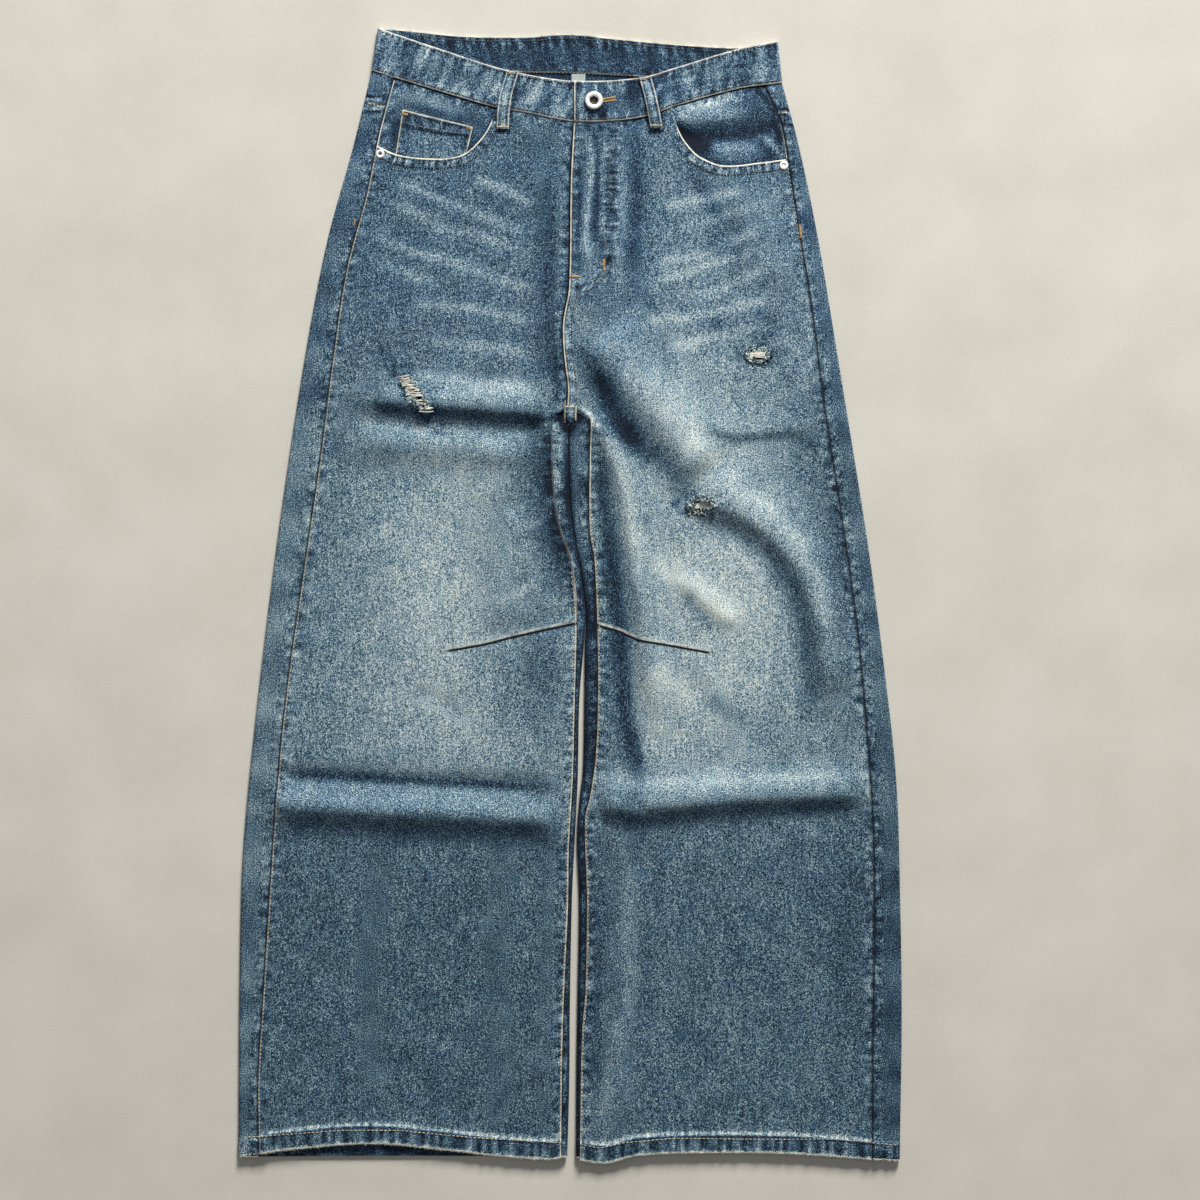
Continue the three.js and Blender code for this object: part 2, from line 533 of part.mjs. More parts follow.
function waistband() {
  const radius = BAND_HEIGHT / 2;
  const [lowRight, lowLeft] = [FRONT_BAND_SEAM[0], FRONT_BAND_SEAM.at(-1)];
  const [highRight, highLeft] = [FRONT_BAND_TOP[0], FRONT_BAND_TOP.at(-1)];
  const over = (x, height) => [
    facingUp(x, frontBandSeam(x), height),
    facingUp(x, frontBandTop(x), height),
  ];
  const under = (x) => [facingDown(x, backBandSeam(x), 0), facingDown(x, backBandTop(x), 0)];
  const fold = (low, high, inward, angles) => angles.map((angle) => [
    turned(low[0], low[1], inward, radius, angle),
    turned(high[0], high[1], inward, radius, angle),
  ]);
  const stations = [
    ...LAP_XS.map((x) => over(x, bandTop(x))),
    ...fold(lowLeft, highLeft, RIGHT, FOLD_TURNS),
    ...BACK_BAND_XS.map(under),
    ...fold(lowRight, highRight, LEFT, FOLD_TURNS.toReversed()),
    ...UNDERLAP_XS.map((x) => over(x, BAND_HEIGHT)),
  ];
  const edges = [0, 1].map((edge) => stations.map((station) => station[edge]));
  const slots = Object.values(BACK_LOOP_X).map((x) =>
    box(x, backBandSeam(x) + 20, -1, LOOP_WIDTH + 2 * GAP, 60, 1 + BACK_LOOP_CLOTH + GAP));
  return cut(sheet(edges, () => BAND_CLOTH), slots);
}

function frontLoop(side) {
  const path = FRONT_LOOPS[side];
  const heights = path.flatMap(([x]) => [bandTop(x - LOOP_WIDTH / 2), bandTop(x + LOOP_WIDTH / 2)]);
  const height = Math.max(...heights) + GAP + LOOP_CLOTH;
  const grid = path.map(([x, y]) =>
    [-1, 1].map((edge) => facingUp(x + (edge * LOOP_WIDTH) / 2, y, height)));
  return sheet(grid, () => LOOP_CLOTH);
}

function backLoop(x) {
  const low = backBandSeam(x) + 1;
  const high = backBandTop(x) - 1;
  return box(x, (low + high) / 2, 0, LOOP_WIDTH, high - low, BACK_LOOP_CLOTH);
}

// ---------------------------------------------------------------- fly, label and metal
function flyShield() {
  const { left, right, bottom, top, round, low } = SHIELD;
  const outline = new THREE.Shape()
    .moveTo(left, bottom)
    .lineTo(right - round, bottom)
    .quadraticCurveTo(right, bottom, right, bottom + round)
    .lineTo(right, top)
    .lineTo(left, top);
  return plate(outline, low, low + CLOTH);
}

function zip() {
  const { x, bottom, top, tape, chain, low } = ZIP;
  const length = top - bottom;
  const tapes = box(x, bottom + length / 2, low, tape, length, CLOTH);
  return join(tapes, box(x, bottom + length / 2, low + CLOTH / 2, chain, length - 8, CLOTH));
}

const careLabel = () =>
  box(LABEL.x, (LABEL.bottom + LABEL.top) / 2, CLOTH + GAP, LABEL.width, LABEL.top - LABEL.bottom, LABEL.cloth);

const lathe = (profile, segments) =>
  new THREE.LatheGeometry(profile.map(([r, z]) => new THREE.Vector2(r, z)), segments).rotateX(Math.PI / 2);

function buttonRing() {
  const { x, y, outer, inner, height } = BUTTON;
  const profile = [[inner, 0], [outer - 1.4, 0], [outer, 1.2], [outer - 0.6, height - 0.5],
    [(outer + inner) / 2, height], [inner + 0.4, height - 0.6], [inner, height - 1.6], [inner, 0]];
  return lathe(profile, 20).translate(x, y, bandTop(x) + GAP);
}

function buttonCentre() {
  const { x, y, inner } = BUTTON;
  const radius = inner - GAP;
  return lathe([[0, 0], [radius, 0], [radius, 0.9], [radius / 2, 0.5], [0, 0.5]], 20)
    .translate(x, y, bandTop(x) + GAP);
}

function rivet(side) {
  const [x, y] = RIVETS[side];
  const r = RIVET_RADIUS;
  return lathe([[0, 0], [r, 0], [r * 0.8, 0.9], [r * 0.45, 1.1], [r * 0.3, 0.5], [0, 0.5]], 14)
    .translate(x, y, HIP_LOFT + GAP);
}

// ---------------------------------------------------------------- the jeans
const jeans = new THREE.Group();
jeans.name = "ripped_jeans";
for (const [side, word] of [[RIGHT, "right"], [LEFT, "left"]]) {
  jeans.add(
    named(`front_${word}`, front(side), "denim"),
    named(`back_${word}`, backPanel(side), "denim"),
    named(`yoke_${word}`, yoke(side), "denim"),
    named(`pocket_facing_${word}`, pocketFacing(side), "facing"),
    named(`back_pocket_${word}`, seatPocket(side), "denim"),
    named(`belt_loop_front_${word}`, frontLoop(side), "denim"),
    named(`rivet_${word}`, rivet(side), "steel"),
  );
}
for (const [name, x] of Object.entries(BACK_LOOP_X)) jeans.add(named(name, backLoop(x), "denim"));
jeans.add(
  named("waistband", waistband(), "darkDenim"),
  named("coin_pocket", coinPocket(), "denim"),
  named("fly_shield", flyShield(), "darkDenim"),
  named("zip", zip(), "tape"),
  named("care_label", careLabel(), "label"),
  named("button", buttonRing(), "steel"),
  named("button_centre", buttonCentre(), "shadow"),
);

export default jeans;
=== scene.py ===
"""Ripped wide-leg jeans, laid flat and face up: cloth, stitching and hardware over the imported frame.

Outlines are in millimetres, +X to the wearer's left, +Y to the waist, +Z up; meshes are in metres.
Right and left are the wearer's: the right leg lies at negative X.
"""

import logging
import math
from dataclasses import dataclass, field
from enum import Enum
from typing import Any, Callable, ClassVar, Sequence

import bpy
import numpy as np
from numpy.typing import NDArray
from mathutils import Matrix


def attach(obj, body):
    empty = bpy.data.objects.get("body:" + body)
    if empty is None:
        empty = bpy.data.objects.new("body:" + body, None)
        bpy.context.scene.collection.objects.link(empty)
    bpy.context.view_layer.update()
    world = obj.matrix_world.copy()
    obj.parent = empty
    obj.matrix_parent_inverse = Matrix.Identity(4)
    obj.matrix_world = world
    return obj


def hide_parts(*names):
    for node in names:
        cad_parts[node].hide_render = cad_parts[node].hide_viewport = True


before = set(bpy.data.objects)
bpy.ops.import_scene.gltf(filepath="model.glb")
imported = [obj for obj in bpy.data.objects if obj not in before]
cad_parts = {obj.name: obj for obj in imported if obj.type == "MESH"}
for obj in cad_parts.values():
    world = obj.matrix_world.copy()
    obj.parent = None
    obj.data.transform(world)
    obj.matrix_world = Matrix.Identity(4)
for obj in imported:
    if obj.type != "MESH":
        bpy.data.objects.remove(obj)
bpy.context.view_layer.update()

Array = NDArray[np.float64]
Path = Sequence[Sequence[float]]
Height = Callable[[Array, Array], Array]

MM = 0.001
RIGHT = -1
LEFT = 1
WORDS = {RIGHT: "right", LEFT: "left"}
UP = np.array((0.0, 0.0, 1.0))
DOWN = np.array((0.0, 0.0, -1.0))
LOG = logging.getLogger("jeans")

# ---------------------------------------------------------------- cloth, millimetres
GAP = 0.3
CLOTH = 1.2
BAND_CLOTH = 2.5
FOLD_RADIUS = 2.2
HEM_FOLD_RADIUS = 3.0
HEM_DEPTH = 16.0
HEM_LEVEL = -528.0
EASE_LEVEL = -470.0
CROTCH_Y = 160.0
STRIP_TOP_Y = 172.0
SHOULDER_Y = 166.0  # below here the fronts' inner edges run straight down beside the inseams
RISE_FOOT_Y = 180.0
FLY_END_Y = 291.0
TOP_LEVEL = 375.0
BACK_TOP_LEVEL = 412.0
YOKE_LEVEL = 500.0  # stands for all rows above the legs' levels
SEAT_HALF = 190.0
YOKE_CENTRE_Y = 418.0
BAND_HEIGHT = 6.3
BAND_WIDTH = 39.0
LOWEST = 2.8  # a trough's face, where the upper layer rests on the lower one


# ---------------------------------------------------------------- small mathematics
def smooth(t: Array) -> Array:
    """Smooth step, 3 t squared minus 2 t cubed, level beyond 0 and 1."""
    t = np.clip(t, 0.0, 1.0)
    return t * t * (3.0 - 2.0 * t)


def mix(a: Any, b: Any, t: Any) -> Any:
    """The value a share t of the way from a to b."""
    return a + (b - a) * t


def bell(distance: Array, reach: Any) -> Array:
    """A bell curve: e to the minus square of distance over reach."""
    return np.exp(-((distance / reach) ** 2))


def ripple(along: Array, period: float, seed: float = 0.0) -> Array:
    """An uneven wave from -1 to 1 along a seam: a sine whose phase wanders by two slower sines."""
    turn = 2.0 * math.pi * along / period
    return np.sin(turn + 1.7 * np.sin(turn / 3.7 + seed) + 1.1 * np.sin(turn / 8.3 - seed) + seed)


@dataclass(frozen=True)
class Line:
    """A smooth line through (t, value) knots: a cubic between neighbours, level beyond its ends."""

    knots: Path

    def __call__(self, t: Any) -> Array:
        """Reads the line.

        Args:
            t: Where to read it.

        Returns:
            Its value there, by Hermite cubics with averaged slopes.
        """
        at, value = np.array(self.knots, float).T
        last = len(at) - 1
        before = np.maximum(np.arange(last + 1) - 1, 0)
        after = np.minimum(np.arange(last + 1) + 1, last)
        slope = (value[after] - value[before]) / (at[after] - at[before])
        k = np.clip(np.searchsorted(at, t, side="right") - 1, 0, last - 1)
        span = at[k + 1] - at[k]
        s = np.clip((t - at[k]) / span, 0.0, 1.0)
        leaving = (1 - s) ** 2 * ((1 + 2 * s) * value[k] + s * span * slope[k])
        arriving = s**2 * ((3 - 2 * s) * value[k + 1] + (s - 1) * span * slope[k + 1])
        return leaving + arriving


@dataclass(frozen=True)
class Near:
    """What lies nearest on a path: distance, its signed form (left of the path is positive),
    the share of the path's knots passed and the length passed."""

    distance: Array
    signed: Array
    share: Array
    length: Array


def nearest(path: Path, x: Array, y: Array) -> Near:
    """Distance from points to a path of straight legs.

    Args:
        path: Corners as (x, y).
        x: Points' x.
        y: Points' y.

    Returns:
        The nearest place's distance and how far along the path it is.
    """
    shape = np.broadcast(x, y).shape
    best = [np.full(shape, np.inf), np.zeros(shape), np.zeros(shape), np.zeros(shape)]
    passed = 0.0
    legs = len(path) - 1
    for i, ((ax, ay), (bx, by)) in enumerate(zip(path, path[1:])):
        span = math.hypot(bx - ax, by - ay)
        share = np.clip(((x - ax) * (bx - ax) + (y - ay) * (by - ay)) / span**2, 0.0, 1.0)
        distance = np.hypot(x - mix(ax, bx, share), y - mix(ay, by, share))
        turn = np.sign((bx - ax) * (y - ay) - (by - ay) * (x - ax))
        closer = distance < best[0]
        found = (distance, distance * turn, (i + share) / legs, passed + share * span)
        best = [np.where(closer, new, old) for new, old in zip(found, best)]
        passed += span
    return Near(*best)


def drawn(line: Callable[[Array], Array], start: float, end: float, across: bool = True,
          step: float = 4.0) -> Path:
    """Corners of a line of y over x (across) or of x over y, from start to end.

    Args:
        line: The line to follow.
        start: First value of its own variable.
        end: Last value.
        across: True where the line gives y over x.
        step: Distance between corners, in millimetres.

    Returns:
        Corners as (x, y).
    """
    t = np.linspace(start, end, max(int(abs(end - start) / step), 1) + 1)
    value = line(t)
    return np.stack([t, value] if across else [value, t], -1).tolist()


def passed_along(corners: Array) -> Array:
    """Length passed at each corner of a path."""
    return np.concatenate([[0.0], np.cumsum(np.hypot(*np.diff(corners, axis=0).T))])


def shares(columns: int, rows: int) -> tuple[Array, Array]:
    """Shares across and up a grid of places, from 0 to 1."""
    across, up = np.meshgrid(np.linspace(0, 1, columns), np.linspace(0, 1, rows))
    return across, up


# ---------------------------------------------------------------- outlines, as (y, x) from hem to waist
OUTER_EDGE = {
    RIGHT: Line(((-528, -312.3), (-342, -310.8), (-236, -307.5), (-116, -296.2), (54, -275.5), (224, -250),
                 (337, -228.3), (426, -203.8), (496, -186.8))),
    LEFT: Line(((-532, 310.8), (-399, 312.7), (-286, 311.3), (-172, 307.5), (-59, 295.3), (54, 280.2),
                (224, 252.8), (337, 234), (424, 216), (484, 200))),
}
OUTSEAM = {
    RIGHT: Line(((-527, -292.5), (-456, -293.5), (-380, -289), (-286, -283), (-191, -276.4), (-97, -267.5),
                 (-3, -254.5), (129, -235), (219, -223.5), (308, -210), (380, -191), (439, -179),
                 (487, -166))),
    LEFT: Line(((-527, 284.5), (-437, 284.8), (-286, 286.5), (-206, 284.9), (-98, 276.8), (-22, 269.2),
                (72, 256.2), (177, 239.6), (267, 228), (352, 214.5), (393, 208), (447, 199), (479, 184.5))),
}
INNER_EDGE = {
    RIGHT: Line(((-530, -2.5), (-454, -0.5), (-387, 0), (-286, 1.9), (-238, 4.2), (-168, 7.5), (-97, 9),
                 (-37, 13.9), (-16, 15.1), (16, 10.9), (43, 6.4), (71, 2.0), (107, -0.7), (160, -1.7))),
    LEFT: Line(((-530, 5.6), (-437, 6.2), (-387, 7), (-286, 8.5), (-227, 6.6), (-190, 9), (-162, 12.3),
                (-97, 13.6), (-37, 14.4), (-16, 15.4), (16, 11.2), (43, 6.7), (71, 2.3), (107, -0.4),
                (160, -1.4))),
}
INSEAM = {
    RIGHT: Line(((-505, -8.1), (-404, -6.6), (-286, -1.6), (-238, -1), (-168, 2.8), (-97, 4.6), (-24, 6.3),
                 (8, 4.5), (38, 0), (62, -8.5), (89, -13.9), (160, -17.5))),
    LEFT: Line(((-505, 9.5), (-412, 11.3), (-370, 14.6), (-286, 16), (-209, 14.2), (-188, 18.9), (-151, 24.2),
                (-97, 26.4), (-28, 25.8), (35, 23.1), (62, 18.9), (125, 18.6), (160, 19.5))),
}
RISE_SEAM = Line(((178, -2.6), (198, -1.8), (220, -4.6), (242, -6.5), (262, -6), (291, -0.9), (392, 0.9),
                  (448, 3.8)))

# ---------------------------------------------------------------- outlines, as (x, y) across the body
FRONT_BAND_SEAM = Line(((-187, 496.2), (-130, 478.7), (-70, 461.3), (-44, 457), (3.8, 448), (43, 448.4),
                        (72, 452.8), (101, 463), (158, 478.7), (200, 484.4)))
FRONT_BAND_TOP = Line(((-181, 536), (-122, 516), (-59, 496.2), (3.8, 486), (66, 488.7), (101, 499),
                       (158, 516), (196, 523.6)))
BACK_BAND_TOP = Line(((-181, 536), (-162, 535), (-102, 529), (-44, 528), (0, 530.7), (43, 526.4),
                      (101, 521), (167, 518), (196, 523.6)))
HEM = {
    RIGHT: Line(((-312, -527.4), (-258, -520), (-186, -515), (-126, -520), (-77, -525.5), (-20, -530),
                 (-3, -527.4))),
    LEFT: Line(((6, -530), (34, -533.5), (62, -526.4), (121, -523.6), (207, -524.5), (272, -529),
                (311, -532))),
}
BACK_HEM = {
    RIGHT: Line(((-312, -527.4), (-160, -526.5), (-3, -527.4))),
    LEFT: Line(((6, -528), (150, -522), (311, -531))),
}
SCOOP_KNOTS = {
    RIGHT: ((-183, 425.5), (-160.4, 416), (-122.6, 412.7), (-103.8, 415.6), (-94.3, 420.8), (-84.9, 430.2),
            (-77.4, 440.6), (-69, 459.4)),
    LEFT: ((96.2, 456.6), (100, 445.3), (105.7, 433), (115, 420.8), (122.6, 414.2), (143.4, 406.1),
           (179.2, 409), (202.8, 412.3)),
}
SCOOP = {side: Line(knots) for side, knots in SCOOP_KNOTS.items()}
SCOOP_END = {RIGHT: -69.0, LEFT: 96.2}
YOKE_SIDE_Y = {RIGHT: 466.0, LEFT: 457.5}
BACK_BAND_SEAM = ((-187, 496.2), (0, 494), (200, 484.4))
# The seat pocket's corners: upper edge, lower right, tip, lower left.
SEAT_POCKET = ((48, 398), (178, 398), (172, 266), (116, 249), (60, 266))
COIN_TOP = ((-157.5, 459), (-91.5, 442.5))
COIN_FOOT = (-164, -97)
DART = {
    RIGHT: ((-117.5, -51), (-82.6, -45), (-58, -38.7), (-27.4, -31.6), (6.3, -24.5)),
    LEFT: ((25.8, -26.4), (44.2, -31.6), (64.6, -40.6), (95.3, -45.8), (133, -52.6)),
}
J_STITCH = ((43.4, 447), (43.4, 422), (40.6, 342.5), (39.6, 312), (29, 294.6), (13, 286.8), (5, 287.4))
BUTTON = (22.6, 469.2)
RIVETS = {RIGHT: (-178.6, 418.4), LEFT: (201.4, 407.6)}
FRONT_LOOPS = {
    RIGHT: ((-63.2, 440.6), (-62.8, 455), (-60.5, 472), (-53.6, 495.2)),
    LEFT: ((81.6, 441.5), (79, 455), (75.5, 472), (70.8, 489)),
}
BACK_LOOP_X = {"right": -105.0, "centre": 0.0, "left": 105.0}


def back_band_seam(x: Array) -> Array:
    """The back band's lower seam: straight from each side to the centre back."""
    at, value = np.array(BACK_BAND_SEAM).T
    return np.interp(x, at, value)


# ---------------------------------------------------------------- how the cloth lies
@dataclass(frozen=True)
class Fold:
    """A ridge (rise above 0) or trough along a path, with the widths of its flanks left and right of
    the path; it fades out at both ends."""

    rise: float
    left: float
    right: float
    path: Path

    def height(self, x: Array, y: Array) -> Array:
        """The fold's height: rise times a bell of the distance, faded at the ends."""
        near = nearest(self.path, x, y)
        reach = np.where(near.signed < 0, self.right, self.left)
        ends = smooth(near.share / 0.15 + 0.3) * smooth((1 - near.share) / 0.15 + 0.3)
        return self.rise * ends * bell(near.distance, reach)


def folds(*rows: Sequence[Any]) -> tuple[Fold, ...]:
    """Folds from rows of rise, left and right width, and corners."""
    return tuple(Fold(rise, left, right, path) for rise, left, right, *path in rows)


# The soft folds, largest first.
FOLDS = folds(
    (8, 34, 21, (22, 240), (40, 222), (58, 200), (82, 174), (104, 146), (128, 116)),
    (8.0, 30, 13, (118, 95), (152, 84), (185, 65), (212, 36), (230, -1), (240, -41), (246, -96)),
    (6.5, 17, 11, (22, 172), (33, 150), (46, 122), (54, 92), (60, 50), (66, 9), (73, -45), (80, -116)),
    (2.8, 14, 8, (104, 18), (127, -3), (156, -26)),
    (1.8, 14, 5, (128, 158), (160, 154), (195, 156), (225, 160)),
    (2.2, 24, 14, (127, 422), (151, 384), (175, 337), (193, 290)),
    (8.5, 20, 12, (22, -192), (60, -199), (110, -193), (180, -187), (285, -184)),
    (6.5, 20, 9, (-190, 186), (-100, 180), (-15, 173)), (-2.2, 9, 9, (-205, 164), (-94, 158), (-20, 156)),
    (3.6, 15, 15, (-205, 145), (-100, 138), (-25, 134)),
    (-2.6, 9, 9, (-285, -166), (-150, -173), (-15, -178)),
    (9.0, 13, 15, (-290, -195), (-141, -202), (-5, -209)),
    (-2.6, 11, 11, (-25, 172), (-29, 130), (-25, 90), (-15, 50), (-4, 15)),
    (3.0, 26, 20, (-66, 150), (-72, 90), (-66, 30), (-52, -30)),
    (2.6, 9, 12, (44, -205), (50, -300), (47, -400), (44, -500)),
    (1.6, 9, 7, (-16, -215), (-20, -320), (-24, -440), (-22, -500)),
)

# Smaller creases.
CREASES = folds(
    (-0.8, 6, 6, (113, 168), (120, 156), (134, 148)), (0.8, 5, 5, (118, -52), (128, -68), (134, -82)),
    (-1.3, 7, 7, (-20, 440), (-16, 390), (-17, 340), (-20, 280), (-20, 210)),
    (2.4, 4.5, 4.5, (-6, 350), (-10, 300), (-12, 250), (-10, 200)),
    (1.0, 8, 8, (-48, 452), (-30, 430), (-24, 380), (-26, 330)),
    (-1.1, 6, 6, (58, 440), (60, 400), (58, 350), (52, 300)),
    (0.9, 4, 4, (14, 430), (18, 390), (14, 350), (16, 312)),
    (0.9, 3.5, 3.5, (30, 436), (28, 396), (30, 356), (26, 320)),
    (-0.8, 3.5, 3.5, (22, 436), (23, 396), (22, 356), (21, 320)),
    (1.0, 6, 6, (-46, 42), (-36, 8), (-20, -12)), (-0.8, 6, 6, (-56, -34), (-44, -58), (-34, -70)),
    (-1.0, 8, 8, (-150, -90), (-120, -100), (-96, -118)), (-0.9, 10, 10, (-60, 78), (-40, 92), (-22, 108)),
    (0.9, 10, 10, (-80, 96), (-50, 112), (-24, 126)),
    (0.8, 12, 12, (-60, -220), (-70, -320), (-64, -440), (-70, -500)),
    (-0.6, 14, 14, (-180, -240), (-190, -340), (-184, -470)),
    (0.7, 10, 10, (120, -60), (150, -110), (160, -160)), (-0.9, 5, 5, (62, -196), (76, -204), (84, -198)),
    (1.2, 9, 9, (24, -160), (30, -172), (40, -180)),
)


@dataclass(frozen=True)
class Leg:
    """How one leg lies: its outlines and the height of its upper layer."""

    side: int
    roll: float = 34.0
    lofts: tuple[float, float] = (5.0, 6.0)
    fly_lift: float = 2.6

    def fly(self, x: Array, y: Array) -> Array:
        """How much the left front is lifted by the fly beneath it."""
        if self.side == RIGHT:
            return np.zeros(np.broadcast(x, y).shape)
        return self.fly_lift * smooth(1 - (x - 38) / 40) * smooth((y - FLY_END_Y) / 40 + 1)

    def top(self, x: Array, y: Array, hem: Any = 0.0) -> Array:
        """Height of the upper layer: low at the folded edges, plump between them, with its folds.

        Args:
            x: Points' x.
            y: Points' y.
            hem: 1 where the cloth is turned up twice, else 0.

        Returns:
            The height of the cloth's face.
        """
        outer = smooth((np.abs(x - OUTER_EDGE[self.side](y)) - FOLD_RADIUS) / self.roll)
        inner = smooth((np.abs(x - INNER_EDGE[self.side](y)) - FOLD_RADIUS) / self.roll)
        hips = smooth((y - CROTCH_Y) / 50)
        rolled = np.minimum(outer, np.maximum(hips, inner))
        low, high = self.lofts
        relief = sum(fold.height(x, y) for fold in FOLDS + CREASES)
        loft = mix(low, high, smooth((y - 100) / 120)) + relief
        return np.maximum(mix(2 * FOLD_RADIUS, loft, rolled), LOWEST) + 1.6 * hem + self.fly(x, y)

    def front_inner(self, y: Array) -> Array:
        """The front's inner edge: inseam, crotch curve, then the rise seam."""
        turn = smooth((y - SHOULDER_Y) / (RISE_FOOT_Y - SHOULDER_Y))
        crotch = INSEAM[self.side](np.minimum(y, CROTCH_Y))
        return mix(crotch, RISE_SEAM(y), turn) + self.side * GAP / 2

    def front_outer(self, y: Array) -> Array:
        """The front's outer edge, beside the side seam."""
        return OUTSEAM[self.side](y) - self.side * GAP / 2

    def front_head(self, x: Array) -> Array:
        """The front's upper edge: pocket scoop, then the waistband's seam."""
        inside = self.side * x > self.side * SCOOP_END[self.side]
        return np.where(inside, np.minimum(SCOOP[self.side](x), FRONT_BAND_SEAM(x) - GAP),
                        FRONT_BAND_SEAM(x) - GAP)


LEGS = {side: Leg(side) for side in (RIGHT, LEFT)}


def band_top(x: Array) -> Array:
    """Height of the waistband's face: its left end is carried on top of its right end."""
    return BAND_HEIGHT + 2.8 * np.where(x > 0, smooth(1 - (x - 48) / 60), 0.0)


# ---------------------------------------------------------------- finishes
class Num:
    """A number socket that takes part in Python expressions; each operation adds a Math node."""

    def __init__(self, nodes: "Nodes", socket: Any) -> None:
        """Wraps a socket of a node tree."""
        self.nodes = nodes
        self.socket = socket

    def _math(self, operation: str, *values: Any) -> "Num":
        """Adds a Math node over the values."""
        sockets = {i: value for i, value in enumerate(values)}
        return Num(self.nodes, self.nodes.add("ShaderNodeMath", {"operation": operation}, sockets).outputs[0])

    def __add__(self, other: Any) -> "Num":
        """Sum."""
        return self._math("ADD", self, other)

    __radd__ = __add__

    def __mul__(self, other: Any) -> "Num":
        """Product."""
        return self._math("MULTIPLY", self, other)

    __rmul__ = __mul__

    def __sub__(self, other: Any) -> "Num":
        """Difference."""
        return self._math("SUBTRACT", self, other)

    def __rsub__(self, other: Any) -> "Num":
        """Reflected difference."""
        return self._math("SUBTRACT", other, self)

    def step(self, low: float, high: float) -> "Num":
        """Smooth step: 0 at low, 1 at high; low may be the larger."""
        settings = {"interpolation_type": "SMOOTHSTEP"}
        node = self.nodes.add("ShaderNodeMapRange", settings, {0: self, 1: low, 2: high, 3: 0.0, 4: 1.0})
        return Num(self.nodes, node.outputs[0])


class Nodes:
    """A material's node tree, built by naming each node's settings and sockets."""

    def __init__(self, name: str) -> None:
        """Makes an empty material of that name."""
        self.material = bpy.data.materials.new(name)
        self.material.use_nodes = True
        self.tree = self.material.node_tree
        self.tree.nodes.clear()

    def add(self, kind: str, settings: dict[str, Any] | None = None,
            sockets: dict[Any, Any] | None = None) -> Any:
        """Adds a node.

        Args:
            kind: Node type.
            settings: Attributes set first; "stops" is a ramp's list of (place, colour).
            sockets: Values or links of its input sockets, by name or number.

        Returns:
            The node.
        """
        node = self.tree.nodes.new(kind)
        for key, value in (settings or {}).items():
            if key == "stops":
                elements = node.color_ramp.elements
                for _ in range(len(value) - len(elements)):
                    elements.new(0.5)
                for element, (place, colour) in zip(elements, value):
                    element.position = place
                    element.color = (*colour, 1.0)
            else:
                setattr(node, key, value)
        for key, value in (sockets or {}).items():
            if isinstance(value, Num):
                value = value.socket
            if isinstance(value, bpy.types.NodeSocket):
                self.tree.links.new(value, node.inputs[key])
            else:
                node.inputs[key].default_value = value
        return node

    def attribute(self, name: str) -> Num:
        """The vertex mark of that name."""
        return Num(self, self.add("ShaderNodeAttribute", {"attribute_name": name}).outputs["Fac"])

    def height(self) -> Num:
        """The object's own Y, in metres."""
        place = self.add("ShaderNodeTexCoord").outputs["Object"]
        return Num(self, self.add("ShaderNodeSeparateXYZ", {}, {0: place}).outputs[1])

    def noise(self, stretch: tuple[float, float, float], detail: float = 2.0, shift: float = 0.0) -> Num:
        """Noise about 0, from -0.5 to 0.5, over the object's coordinates.

        Args:
            stretch: Features per metre along each axis.
            detail: Octaves.
            shift: Offset that makes it unlike another noise.

        Returns:
            The noise.
        """
        place = self.add("ShaderNodeTexCoord").outputs["Object"]
        spot = self.add("ShaderNodeVectorMath", {"operation": "MULTIPLY_ADD"},
                        {0: place, 1: stretch, 2: (shift,) * 3})
        sockets = {"Vector": spot.outputs[0], "Scale": 1.0, "Detail": detail}
        noise = self.add("ShaderNodeTexNoise", {}, sockets)
        return Num(self, noise.outputs[0]) - 0.5

    def ramp(self, place: Num, stops: Sequence[tuple[float, tuple[float, float, float]]]) -> Any:
        """A colour read from stops at a place."""
        return self.add("ShaderNodeValToRGB", {"stops": stops}, {0: place}).outputs[0]

    def blend(self, share: Any, first: Any, second: Any) -> Any:
        """A colour a share of the way from the first to the second."""
        node = self.add("ShaderNodeMix", {"data_type": "RGBA"}, {0: share, 6: first, 7: second})
        return node.outputs[2]

    def surface(self, sockets: dict[str, Any]) -> bpy.types.Material:
        """Ends the tree in one Principled surface with these sockets."""
        shader = self.add("ShaderNodeBsdfPrincipled", {}, sockets)
        self.add("ShaderNodeOutputMaterial", {}, {0: shader.outputs[0]})
        return self.material


def srgb(red: int, green: int, blue: int) -> tuple[float, float, float]:
    """A colour of the 0 to 255 scale, in linear light."""
    shares = np.array((red, green, blue)) / 255.0
    linear = np.where(shares <= 0.04045, shares / 12.92, ((shares + 0.055) / 1.055) ** 2.4)
    return tuple(float(v) for v in linear)


# Washed denim's colour by tone, dark to pale, on the legs and in the deeper blue of the hips.
BLUES = (
    (0.0, srgb(7, 15, 26)), (0.15, srgb(22, 41, 59)), (0.25, srgb(39, 65, 85)), (0.35, srgb(62, 90, 107)),
    (0.46, srgb(90, 117, 130)), (0.6, srgb(137, 157, 163)), (0.75, srgb(177, 188, 184)),
    (1.0, srgb(226, 225, 213)),
)
DEEP_BLUES = (
    (0.0, srgb(5, 14, 28)), (0.15, srgb(18, 40, 66)), (0.25, srgb(34, 65, 95)), (0.35, srgb(57, 91, 118)),
    (0.46, srgb(86, 118, 142)), (0.6, srgb(134, 157, 171)), (0.75, srgb(177, 189, 189)),
    (1.0, srgb(226, 226, 216)),
)
# Colours of the rubbed rim, of the painted shade beside seams, and of the knee darts' painted highlight and
# painted shadow.
RUBBED_RIM = (212, 207, 190)
SEAM_SHADE = (13, 20, 32)
DART_LIP_HIGHLIGHT = (198, 200, 188)
DART_GROOVE_SHADOW = (16, 25, 36)


